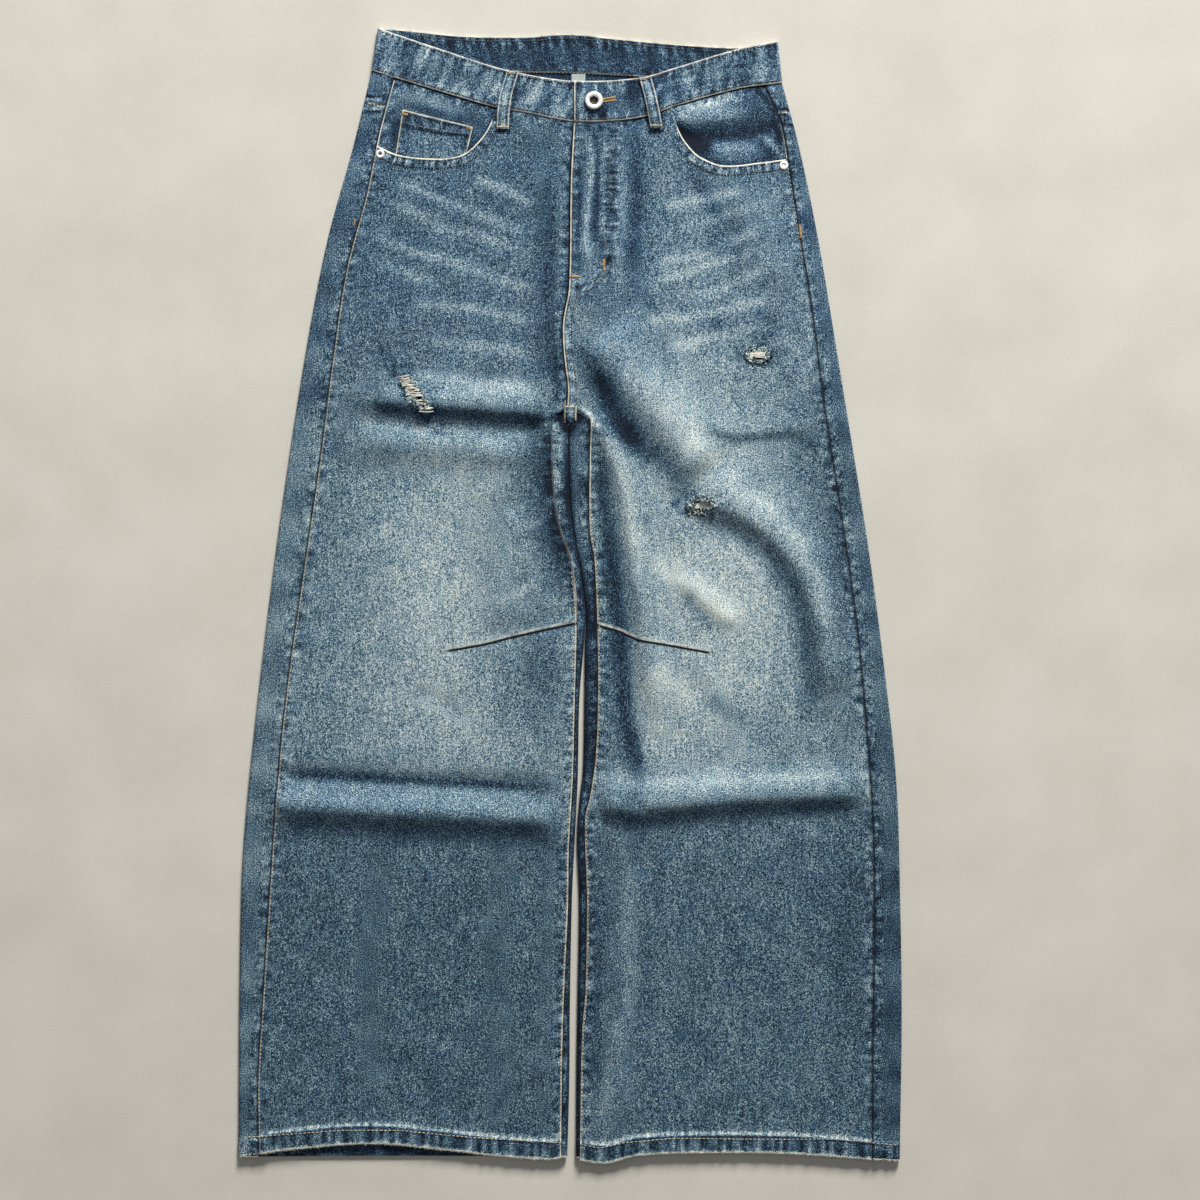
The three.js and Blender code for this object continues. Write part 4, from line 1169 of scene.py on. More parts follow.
@dataclass
class Beside:
    """What the seams do to a piece's points: height, tone and rim wear, which is pale above 0 and painted
    shade below 0, gathered seam by seam.
    """

    shape: tuple[int, ...]

    def __post_init__(self) -> None:
        """Starts with no seam near."""
        self.seam = np.full(self.shape, 99.0)
        self.wear = np.zeros(self.shape)
        self.lift = np.zeros(self.shape)
        self.tone = np.zeros(self.shape)

    def add(self, look: SeamLook, gap: Array, along: Array, seed: float) -> "Beside":
        """Adds one seam.

        Args:
            look: How it marks the cloth.
            gap: Distance to it, in millimetres.
            along: Distance along it.
            seed: Shift of its puckers.

        Returns:
            Itself.
        """
        near = look.falloff(gap)
        wave = ripple(along, look.period, seed) + 0.5 * ripple(along, look.period / 2.3, seed + 2)
        nearer = gap < self.seam
        self.seam = np.where(nearer, gap, self.seam)
        self.wear = np.where(nearer, look.rim, self.wear)
        rolled = 0.5 * smooth(1 - gap / EDGE_ROLL) * (gap < EDGE_ROLL)
        self.lift = self.lift + near * (look.pucker * wave + look.ridge) - rolled
        self.tone = self.tone + near * look.tone * wave
        return self

    def marks(self, tone: Array) -> dict[str, Array]:
        """The marks that the denim finish reads."""
        return {"tone": tone + self.tone, "seam": self.seam, "wear": self.wear}


# ---------------------------------------------------------------- rips
@dataclass(frozen=True)
class Rip:
    """A frayed hole: its centre, length, width and turn in degrees, in millimetres."""

    name: str
    side: int
    x: float
    y: float
    length: float
    width: float
    turn: float = 0.0

    def local(self, x: Array, y: Array) -> tuple[Array, Array]:
        """Places in the hole's own axes, along it and across it."""
        c, s = math.cos(math.radians(self.turn)), math.sin(math.radians(self.turn))
        return (x - self.x) * c + (y - self.y) * s, (y - self.y) * c - (x - self.x) * s

    def radius(self, x: Array, y: Array) -> Array:
        """Distance from the centre as a share of the ragged oval's own radius there."""
        u, v = self.local(x, y)
        u, v = u / (self.length / 2), v / (self.width / 2)
        turn = np.arctan2(v, u)
        ragged = 1 + 0.1 * np.sin(5 * turn + self.x) + 0.07 * np.sin(11 * turn + self.y)
        return np.hypot(u, v) / ragged


RIPS = (
    Rip("rip_right_thigh", RIGHT, -145.3, 190.6, 34, 7, -55),
    Rip("rip_left_thigh", LEFT, 177.0, 227.4, 18, 7.5),
    Rip("rip_left_knee", LEFT, 123.6, 86.4, 21, 8),
)


# ---------------------------------------------------------------- grids
def leg_levels(step: float, hem_step: float = 2.6) -> Array:
    """Levels of the rows up a leg, closer together in and above the hem."""
    edge, fold = (0.0, 0.6, 1.3), (14.5, 15.6, 16.4, 17.2, 18.4, 20.4)
    hem = np.concatenate([edge, np.arange(3.0, 14.0, hem_step), fold])
    rest = np.arange(HEM_LEVEL + 23.0, TOP_LEVEL, step)
    return np.concatenate([HEM_LEVEL + hem, rest])


def from_hem(levels: Array, line: Callable[[Array], Array], x: Array) -> Array:
    """Rows' y: levels that follow the hem's line at the foot and lie straight above it."""
    ease = np.clip((EASE_LEVEL - levels) / (EASE_LEVEL - HEM_LEVEL), 0.0, 1.0)
    return levels + (line(x) - HEM_LEVEL) * ease


def in_hem(rise: Array) -> Array:
    """1 in the turned hem, 0 above it, by the height over the hem's edge."""
    return smooth((HEM_DEPTH + 1.6 - rise) / 1.6)


@dataclass
class Front:
    """A front leg: one sheet from hem to pocket scoop and waistband, with its rips."""

    leg: Leg
    columns: int = 104
    row_step: float = 2.7
    head_rows: int = 34

    def grid(self) -> tuple[Array, Array]:
        """Places of the grid: shares of the way between the side seams' lines on each row.

        Returns:
            x and y of the points.
        """
        side = self.leg.side
        edge = np.array((0.0, 0.0022, 0.005, 0.01))
        share = np.concatenate([edge, np.linspace(0, 1, self.columns)[2:-2], (1 - edge)[::-1]])
        levels = leg_levels(self.row_step)
        head = 1 - (1 - np.linspace(0, 1, self.head_rows)) ** 1.25
        from_outer = share if side == RIGHT else 1 - share
        x = np.broadcast_to(side * SEAT_HALF * (1 - from_outer), (len(levels) + len(head), len(share)))
        for _ in range(6):
            low = from_hem(levels[:, None], HEM[side], x[: len(levels)])
            high = mix(TOP_LEVEL, self.leg.front_head(x[len(levels):]), head[:, None])
            y = np.concatenate([low, high])
            x = mix(self.leg.front_outer(y), self.leg.front_inner(y), from_outer)
        return x, y

    def seams(self, x: Array, y: Array) -> Beside:
        """What the seams round the panel do to its points.

        Args:
            x: Points' x.
            y: Points' y.

        Returns:
            The gathered seams.
        """
        side = self.leg.side
        start, end = (-183.0, 3.6) if side == RIGHT else (4.1, 202.8)
        head = nearest(drawn(self.leg.front_head, start, end, True, 3.0), x, y)
        scooped = smooth((side * (x - SCOOP_END[side]) + 2) / 6)
        beside = Beside(x.shape)
        beside.add(OUTER_LOOK[side], np.abs(x - self.leg.front_outer(y)), y, 1.0 + side)
        inner_gap = np.abs(x - self.leg.front_inner(y))
        beside.add(INNER_LOOK, inner_gap, y, 3.0 + side)
        beside.wear = np.where(inner_gap <= beside.seam, INNER_RIM[side](y), beside.wear)
        # Painted shadow beside the front's inner edge.
        beside.tone = beside.tone - INNER_SHADOW[side](y) * bell(inner_gap, 3.2)
        beside.add(HEM_LOOK, y - HEM[side](x), x, 5.0 + side)
        beside.add(SCOOP_LOOK, head.distance + 30 * (1 - scooped), head.length, 7.0 + side)
        if side == LEFT:
            fly = nearest(beside_of(J_STITCH, -3.0), x, y)
            beside.add(FLY_LOOK, fly.distance, fly.length, 9.0)
        nearer = (head.distance < np.maximum(beside.seam, 2.5)) & (scooped < 0.5)
        beside.seam = np.where(nearer, head.distance, beside.seam)
        beside.wear = np.where(nearer, SUNK, beside.wear)
        return beside

    def dart(self, x: Array, y: Array) -> tuple[Array, Array, dict[str, Array]]:
        """The knee dart's stitched groove.

        Args:
            x: Points' x.
            y: Points' y.

        Returns:
            Its height, what it does to the tone, and the marks that draw its line: the signed
            distance from it, above it positive, and 1 along it, 0 past its tip.
        """
        right = self.leg.side == RIGHT
        tip, inner = (DART[RIGHT][0], DART[RIGHT][-1]) if right else (DART[LEFT][-1], DART[LEFT][0])
        run_out = 41  # length of the path's leg past the tip
        beyond = (tip[0] + self.leg.side * 40, tip[1] - 9)
        before = (inner[0] - self.leg.side * 30, inner[1] + 6)
        path = (beyond, *DART[RIGHT], before) if right else (before, *DART[LEFT], beyond)
        near = nearest(path, x, y)
        total = sum(math.dist(a, b) for a, b in zip(path, path[1:]))
        from_tip = near.length - run_out if right else total - run_out - near.length
        shown = smooth(from_tip / 3)
        lip = bell(near.signed - 2.6, 2.6) * (0.8 + 0.5 * ripple(near.length, 8.0))
        below = bell(near.signed + 4, 4) * ripple(near.length, 7.0, 3)
        depth = shown * (0.9 * lip - 0.6 * bell(near.signed + 1.5, 2.0) + 0.25 * below)
        # The tone adds a painted highlight along the lip, and pale and dark puckers below it.
        tone = shown * (0.08 * lip + 0.06 * below)
        return depth, tone, {"dart": np.clip(near.signed, -30, 30), "darted": shown}

    def hem_tone(self, x: Array, y: Array) -> Array:
        """Tone about the hem: a pale halo over its stitched line, that dark line, and the frayed edge."""
        above = y - HEM[self.leg.side](x) - HEM_DEPTH
        halo = 0.34 * bell(above - 2.6, 2.2) * (1 + 0.5 * ripple(x, 5.5, 3.0))
        patchy = 1 + 0.5 * ripple(x, 4.6, 1.0) + 0.4 * ripple(x, 31, 2.0)
        return halo + 0.42 * bell(above + HEM_DEPTH - 1.0, 1.5) * patchy - 0.26 * bell(above + 0.3, 1.2)

    def build(self) -> bpy.types.Object:
        """Makes the front with its holes cut."""
        side = self.leg.side
        word = WORDS[side]
        x, y = self.grid()
        beside = self.seams(x, y)
        depth, dart_tone, dart_marks = self.dart(x, y)
        hem = in_hem(y - HEM[side](x))
        z = self.leg.top(x, y, hem) + beside.lift + depth
        tone = wear_and_shading_tone(side, x, y) + dart_tone + self.hem_tone(x, y) - 0.08 * hem
        keep = np.ones((x.shape[0] - 1, x.shape[1] - 1), bool)
        for rip in RIPS:
            if rip.side != side:
                continue
            radius = rip.radius(x, y)
            inside = radius < 1
            whole = inside[:-1, :-1] & inside[1:, :-1] & inside[:-1, 1:] & inside[1:, 1:]
            keep &= ~whole
            open_corner = np.zeros(x.shape, bool)
            for shift in ((slice(None, -1), slice(None, -1)), (slice(1, None), slice(None, -1)),
                          (slice(None, -1), slice(1, None)), (slice(1, None), slice(1, None))):
                open_corner[shift] |= whole
            rim = open_corner & inside
            x = np.where(rim, rip.x + (x - rip.x) / np.maximum(radius, 0.2), x)
            y = np.where(rim, rip.y + (y - rip.y) / np.maximum(radius, 0.2), y)
            gap = np.maximum(rip.radius(x, y) - 1, 0) * rip.width / 2
            beside.seam = np.minimum(beside.seam, np.maximum(gap, 0.0))
            beside.wear = np.where(gap < 6, 0.3, beside.wear)
            z = z + 0.5 * bell(gap, 2.2) - 0.3 * bell(gap - 5, 3)
            tone = tone - 0.12 * bell(gap - 3.5, 3.5)
        thick = CLOTH * (1 + hem)
        cloth = Cloth(xyz(x, y, z), thick, None, keep, beside.marks(tone) | dart_marks)
        return cloth.build(f"front_leg_{word}", [f"front_{word}"], "washed_denim")


def crotch_cross() -> bpy.types.Object:
    """Makes the small puffed square where the four seams of the crotch cross."""
    share, rise = shares(15, 19)
    x, y = mix(-5.6, 6.2, share), mix(162.0, 180.0, rise)
    gap = np.minimum(np.minimum(share, 1 - share) * 11.6, (1 - np.abs(2 * rise - 1)) * 10)
    z = LEGS[LEFT].top(x, y + 8) + 0.9 + 0.9 * smooth(gap / 4) - 2.6 * smooth((171 - y) / 10)
    beside = Beside(x.shape).add(SeamLook(4, 7, 0.1, 0.12, 0.6, 0.0), gap, y, 2.0)
    tone = 0.4 + 0.14 * bell(x - 1, 2.5) - 0.24 * bell(gap - 2.0, 1.0) - 0.16 * bell(y - 167, 3)
    return Cloth(xyz(x, y, z), 1.6, None, None, beside.marks(tone)).build("crotch_cross", (), "washed_denim")


@dataclass
class Back:
    """A back leg or yoke: its edges come round the outer and inner folds to the seams on top."""

    leg: Leg
    yoke: bool = False
    over_columns: int = 10
    turn_columns: int = 6
    under_columns: int = 34
    row_step: float = 4.2

    def yoke_seam(self, x: Array) -> Array:
        """The yoke's lower seam, straight from the centre back to the outer fold."""
        side = self.leg.side
        turn = abs(float(OUTER_EDGE[side](YOKE_SIDE_Y[side]))) - FOLD_RADIUS
        return mix(YOKE_CENTRE_Y, YOKE_SIDE_Y[side], np.clip(np.abs(x) / turn, 0, 1))

    def rows(self) -> tuple[Array, Array]:
        """Levels of the leg's rows, and shares of the rows between them and the seam above."""
        head = np.linspace(0, 1, 26 if self.yoke else 42)
        if self.yoke:
            return np.zeros(0), head
        return np.append(leg_levels(self.row_step, 3.6), np.arange(380, 409, 4.0)), head

    def place(self, x: Array, over: bool) -> Array:
        """Rows' y at x, on the underside or on the strips that show on top.

        Args:
            x: Points' x, (rows, columns).
            over: True on the top strips.

        Returns:
            Their y.
        """
        levels, head = self.rows()
        low_rows = x[: len(levels)]
        high_rows = x[len(levels):]
        low = from_hem(levels[:, None], BACK_HEM[self.leg.side], low_rows)
        if self.yoke:
            foot = self.yoke_seam(high_rows)
            top = (FRONT_BAND_SEAM(high_rows) if over else back_band_seam(high_rows)) - GAP
            return mix(foot, top, head[:, None])
        high = mix(BACK_TOP_LEVEL, self.yoke_seam(high_rows) - GAP, head[:, None])
        return np.concatenate([low, high])

    def strip(self, fold_x: Callable[[Array], Array], seam_x: Callable[[Array], Array],
              inward: float) -> Array:
        """The strip on top, from the fold to the seam.

        Args:
            fold_x: x of the folded edge at y.
            seam_x: x of the seam at y.
            inward: Which way the piece lies from its fold, 1 or -1.

        Returns:
            The strip's points.
        """
        side = self.leg.side
        levels, head = self.rows()
        share = np.linspace(0, 1, self.over_columns)
        x = np.broadcast_to(side * SEAT_HALF, (len(levels) + len(head), len(share)))
        for _ in range(6):
            y = self.place(x, True)
            start = fold_x(y) + inward * FOLD_RADIUS
            x = mix(start, seam_x(y), share)
        hem = in_hem(y - BACK_HEM[side](x))
        return xyz(x, y, self.leg.top(x, y, hem))

    def turn(self, fold_x: Callable[[Array], Array], far_x: float, inward: float) -> tuple[Array, Array]:
        """The half round at a folded edge, from top to floor side.

        Args:
            fold_x: x of the folded edge at y.
            far_x: Where to read the rows' y.
            inward: Which way the piece lies from its fold.

        Returns:
            Points and the directions they face.
        """
        levels, head = self.rows()
        ones = np.full((len(levels) + len(head), 1), far_x)
        y = self.place(ones, False)
        hem = in_hem(y - BACK_HEM[self.leg.side](ones))
        radius = FOLD_RADIUS + (HEM_FOLD_RADIUS - FOLD_RADIUS) * hem
        angle = np.radians(np.linspace(90, 270, self.turn_columns))
        look = xyz(inward * np.cos(angle), 0 * y, np.sin(angle))
        centre = xyz(fold_x(y) + inward * radius, y, radius)
        return centre + look * radius[..., None], look

    def build(self) -> bpy.types.Object:
        """Makes the back as one closed sheet round the leg's edges."""
        side = self.leg.side
        levels, head = self.rows()
        count = len(levels) + len(head)
        tall = np.concatenate([levels, np.full(len(head), YOKE_LEVEL)])[:, None]
        below = tall <= STRIP_TOP_Y
        outer, inner = OUTER_EDGE[side], INNER_EDGE[side]
        strip = self.strip(outer, lambda y: OUTSEAM[side](y) + side * GAP / 2, -side)
        outer_turn, outer_look = self.turn(outer, side * 300.0, -side)
        share = np.linspace(0, 1, self.under_columns + 2)[1:-1]
        inner_fold = inner(np.maximum(tall, HEM_LEVEL)) + side * FOLD_RADIUS
        under_x = mix(outer_turn[:, -1:, 0], np.where(below, inner_fold, side * GAP / 2), share)
        under_y = self.place(under_x, False)
        under = xyz(under_x, under_y, self.seat_lift(under_x, under_y))
        inner_turn, inner_look = self.turn(inner, float(side), side)
        tuck = self.strip(inner, lambda y: self.leg.front_inner(y) - side * GAP, side)
        parts = [strip[:, :0:-1], outer_turn, under, inner_turn[:, ::-1], tuck[:, 1:]]
        ways = [UP, outer_look, DOWN, inner_look[:, ::-1], UP]
        face = np.concatenate(parts, 1)
        look = np.concatenate([np.broadcast_to(way, part.shape) for way, part in zip(ways, parts)], 1)
        first_inner = parts[0].shape[1] + self.turn_columns + self.under_columns
        centre_x = np.full((count, 1), side * GAP / 2)
        centre_y = self.place(centre_x, False)
        centre = xyz(centre_x, centre_y, self.seat_lift(centre_x, centre_y))
        above = ~below[:, 0]
        face[above, first_inner:] = centre[above]
        look[above, first_inner:] = DOWN
        keep = np.ones((count - 1, face.shape[1] - 1), bool)
        keep[above[1:], first_inner:] = False
        x, y, _ = np.moveaxis(face, -1, 0)
        hem = in_hem(y - BACK_HEM[side](x))
        over, shown = (np.concatenate([np.full(part.shape[:2], on) for part, on in zip(parts, flags)], 1)
                       for flags in ((1.0, 0.0, 0.0, 0.0, 1.0), (1.0, 1.0, 0.0, 1.0, 1.0)))
        beside = Beside(x.shape)
        outer_gap = np.where(over > 0, np.abs(x - OUTSEAM[side](y)), FAR)
        inner_gap = np.where(over > 0, np.abs(x - INSEAM[side](y)), FAR)
        inner_gap[above] = FAR
        beside.add(OUTER_LOOK[side], outer_gap, y, 1.4 + side)
        beside.wear = np.where(outer_gap <= beside.seam, SUNK, beside.wear)
        beside.add(INNER_LOOK, inner_gap, y, 3.4 + side)
        beside.wear = np.where(inner_gap <= beside.seam, STRIP_RIM[side](y), beside.wear)
        # Painted shadow on the strip beside the inseam.
        beside.tone = beside.tone - STRIP_SHADOW[side](y) * bell(inner_gap, 2.6)
        if not self.yoke:
            beside.add(HEM_LOOK, np.abs(y - BACK_HEM[side](x)), x, 5.5 + side)
        if (tall > BACK_TOP_LEVEL).any():
            yoke_gap = np.where(over > 0, np.abs(y - self.yoke_seam(x)), FAR)
            beside.add(YOKE_LOOK, yoke_gap, x, 6.0)
        beside.lift *= over
        face[..., 2] += beside.lift
        marks, inner_side = beside.marks(self.tone(x, y, shown)), {"tone": 0.1, "wear": 0.0}
        cloth = Cloth(face, CLOTH * (1 + hem), look, keep, marks, inner_side, side == RIGHT)
        name, node = ("yoke_cloth", "yoke") if self.yoke else ("back_leg", "back")
        return cloth.build(f"{name}_{WORDS[side]}", [f"{node}_{WORDS[side]}"], "washed_denim")

    def seat_lift(self, x: Array, y: Array) -> Array:
        """How far the underside leaves the floor over the patch pocket on the seat."""
        slope = 7
        across = np.minimum(np.abs(x) - 38, 188 - np.abs(x)) / slope
        along = np.minimum(y - 240, 404 - y) / slope + 1
        return 1.3 * np.clip(np.minimum(across, along), 0, 1)

    def tone(self, x: Array, y: Array, over: Array) -> Array:
        """Tone of the back: darker strips on top, with painted shade in the valley and the gap between the
        legs and in the crotch's pits, a washed middle underneath.
        """
        side = self.leg.side
        top = BASE_TONE[side](y) - 0.06 + 0.05 * ripple(y, 60.0, side)
        leg_share = smooth((y + 230) / 60) * smooth((250 - y) / 60)
        top = top - 0.03 - 0.06 * leg_share if side == LEFT else top + 0.05 - 0.02 * leg_share
        top = top + 0.05 * smooth((-180 - y) / 60) * (side == RIGHT)
        inner = smooth((30 - np.abs(x)) / 6) * smooth((200 - y) / 20)
        # Painted shade in the valley where the legs' inner folds meet, darkest at the fold.
        top = top - inner * (0.1 + 0.2 * bell(x - INNER_EDGE[side](y), 3.0))
        top = top - 0.1 * inner * smooth((y + 190) / 40) * smooth((30 - y) / 40)
        if side == RIGHT:
            near_gap = np.maximum(-0.5 - x, 0) / 7
            # Painted shadow in the gap between the legs.
            shade = 0.4 * np.exp(-(near_gap**2) - ((y - 104) / 40) ** 2)
            top = top + 0.1 * inner * smooth((y - 60) / 30) - shade
        else:
            top = top + 0.08 * inner * smooth(y / 40)
        top = top + sum(mark.at(x, y) for mark in CROTCH_PIT_SHADOWS + YOKE_BANDS[side])
        below = 0.38 + 0.1 * np.exp(-(((np.abs(x) - 140) / 90) ** 2) - ((y - 60) / 320) ** 2)
        return np.where(over > 0, top, below)


# ---------------------------------------------------------------- pockets
@dataclass
class HipPocket:
    """The facing that shows in a hip pocket's scoop, and the coin pocket on the right one."""

    leg: Leg
    depth: float = 22.0
    underlap: float = 12.0
    side_rim: ClassVar[dict[int, float]] = {RIGHT: 0.75, LEFT: 0.4}
    hollow: Fold = Fold(-2.6, 9, 8, ((96, 436), (130, 433), (165, 436), (192, 446)))
    swell: Fold = Fold(1.6, 9, 9, ((92, 452), (120, 452), (160, 458), (190, 464)))

    @property
    def painted_shading(self) -> dict[int, tuple[Streak, ...]]:
        """Painted shade in the hollows and beside the coin pocket, and painted highlights on the swells and
        ridges, of each facing.
        """
        return {
            RIGHT: streaks(
                (-0.2, 3.2, (-160, 453), (-165, 436), (-166, 420)),
                (-0.16, 2.5, (-93, 441), (-96, 424), (-104, 416)),
                (-0.12, 3, (-156, 463), (-124, 456), (-92, 447)),
                (0.18, 6, (-182, 474), (-140, 471), (-90, 455)),
                (0.1, 6, (-186, 452), (-180, 430), (-176, 416)),
            ),
            LEFT: streaks(
                (-0.24, 6, (94, 440), (112, 434), (140, 434), (175, 438), (196, 446)),
                (-0.34, 8, (96, 444), (108, 432), (124, 424), (138, 428)),
                (0.3, 7, (98, 462), (118, 461), (136, 464), (160, 474)),
                (0.22, 5, (98, 455), (112, 450), (140, 452), (170, 458)),
                (0.16, 6, (128, 424), (150, 423), (180, 424)),
                (0.3, 1.2, (121, 464), (133, 466), (143, 471)),
                (0.26, 1.1, (149, 476), (153, 470), (158, 466)),
                (-0.3, 3.2, (168, 481), (182, 474), (190, 460), (196, 440), (199, 422)),
                (0.24, 2.0, (176, 437), (187, 430), (199, 418)),
                (-0.22, 2.6, (176, 429), (186, 421), (192, 411)),
            ),
        }

    def height(self, x: Array, y: Array) -> Array:
        """The facing's face: under the front, with a hollow and a swell across the left one."""
        z = self.leg.top(x, y) - CLOTH - GAP
        if self.leg.side == LEFT:
            z = z + self.hollow.height(x, y) + self.swell.height(x, y)
        return z + 0.15 * ripple(x + y, 31.0, 2.0)

    def build(self) -> bpy.types.Object:
        """Makes the facing."""
        side = self.leg.side
        inner = SCOOP_END[side] - side * self.underlap
        rise = np.linspace(0, 1, 26)[:, None]
        share = np.linspace(0, 1, 42)[None, :]
        x = np.broadcast_to(mix(side * SEAT_HALF, inner, share), (26, 42))
        for _ in range(6):
            y = mix(SCOOP[side](x) - self.depth, FRONT_BAND_SEAM(x) - GAP, rise)
            x = mix(self.leg.front_outer(y), inner, share)
        z = self.height(x, y)
        beside = Beside(x.shape)
        beside.add(OUTER_LOOK[side], np.abs(x - self.leg.front_outer(y)), y, 2.0)
        beside.add(INNER_LOOK, FRONT_BAND_SEAM(x) - y, x, 4.0)
        rubbed = (np.abs(x - self.leg.front_outer(y)) < 5) & (FRONT_BAND_SEAM(x) - y > 3)
        beside.wear = np.where(rubbed, self.side_rim[side], SUNK)
        # Painted shadow on the facing beside the front's scoop edge.
        beside.tone = beside.tone - 0.16 * bell(y - SCOOP[side](x) - 1.5, 2.6)
        painted_shading = sum(mark.at(x, y) for mark in self.painted_shading[side])
        tone = 0.25 + 0.03 * ripple(x * 0.7 + y, 37.0, 1.0) + painted_shading
        face = xyz(x, y, z + 0.5 * beside.lift)
        cloth = Cloth(face, CLOTH, None, None, beside.marks(tone), {}, side == LEFT)
        return cloth.build(f"facing_{WORDS[side]}", [f"pocket_facing_{WORDS[side]}"], "facing_denim")

    def coin_point(self, share: Array, rise: Array) -> tuple[Array, Array]:
        """A place on the coin pocket: a share across it, and a share of the way up it."""
        foot_x = mix(*COIN_FOOT, share)
        x = mix(foot_x, mix(COIN_TOP[0][0], COIN_TOP[1][0], share), rise)
        y = mix(SCOOP[RIGHT](foot_x) + 2 * GAP, mix(COIN_TOP[0][1], COIN_TOP[1][1], share), rise)
        return x, y

    def build_coin(self) -> bpy.types.Object:
        """Makes the coin pocket, with its turned top band."""
        share, rise = shares(40, 26)
        x, y = self.coin_point(share, rise)
        wide, tall = 67.0, 36.0
        top_gap, side_gap = (1 - rise) * tall, np.minimum(share, 1 - share) * wide
        band = smooth((11.0 - top_gap) / 1.2)
        beside = Beside(x.shape)
        beside.add(SeamLook(4, 6, 0.12, 0.08, 0.7, 0.0), side_gap, y, 1.0)
        beside.add(SeamLook(10, 6, 0.12, 0.08, 0.6, 0.0), top_gap, x, 2.0)
        z = self.height(x, y) + GAP + CLOTH + 0.35 * band + 0.25 * bell(side_gap - 6, 6)
        tone = (0.34 - 0.08 * band - 0.36 * bell(top_gap - 12.8, 1.5) + 0.2 * bell(top_gap - 10.4, 1.0)
                - 0.2 * bell(top_gap - 3.4, 1.2) - 0.16 * bell(side_gap - 4.2, 1.2) + 0.03 * ripple(x, 19.0))
        cloth = Cloth(xyz(x, y, z + beside.lift), CLOTH + 0.35 * band, None, None, beside.marks(tone))
        return cloth.build("coin_pocket_cloth", ["coin_pocket"], "washed_denim")


def seat_pocket(side: int) -> bpy.types.Object:
    """Makes a plain patch pocket on the seat: a five-cornered sheet flat on the floor side."""
    share, rise = shares(44, 48)
    (top_in, top), (top_out, _), (foot_out, foot), (tip_x, tip), (foot_in, _) = SEAT_POCKET
    x = mix(mix(foot_in, top_in, rise), mix(foot_out, top_out, rise), share)
    y = mix(np.interp(x, (foot_in, tip_x, foot_out), (foot, tip, foot)), top, rise)
    edge = np.minimum(np.minimum(share, 1 - share) * 120, np.minimum(rise, 1 - rise) * 140)
    beside = Beside(x.shape).add(SeamLook(7, 9, 0.0, 0.08, 0.8, 0.0), edge, x + y, 1.0)
    marks = beside.marks(0.42 + 0.05 * np.exp(-(((x - 113) / 50) ** 2)) + 0 * x)
    cloth = Cloth(xyz(side * x, y, 0.02 * smooth(1 - edge / 2)), 1.0, DOWN, None, marks, {}, side == LEFT)
    return cloth.build(f"seat_pocket_{WORDS[side]}", [f"back_pocket_{WORDS[side]}"], "washed_denim")


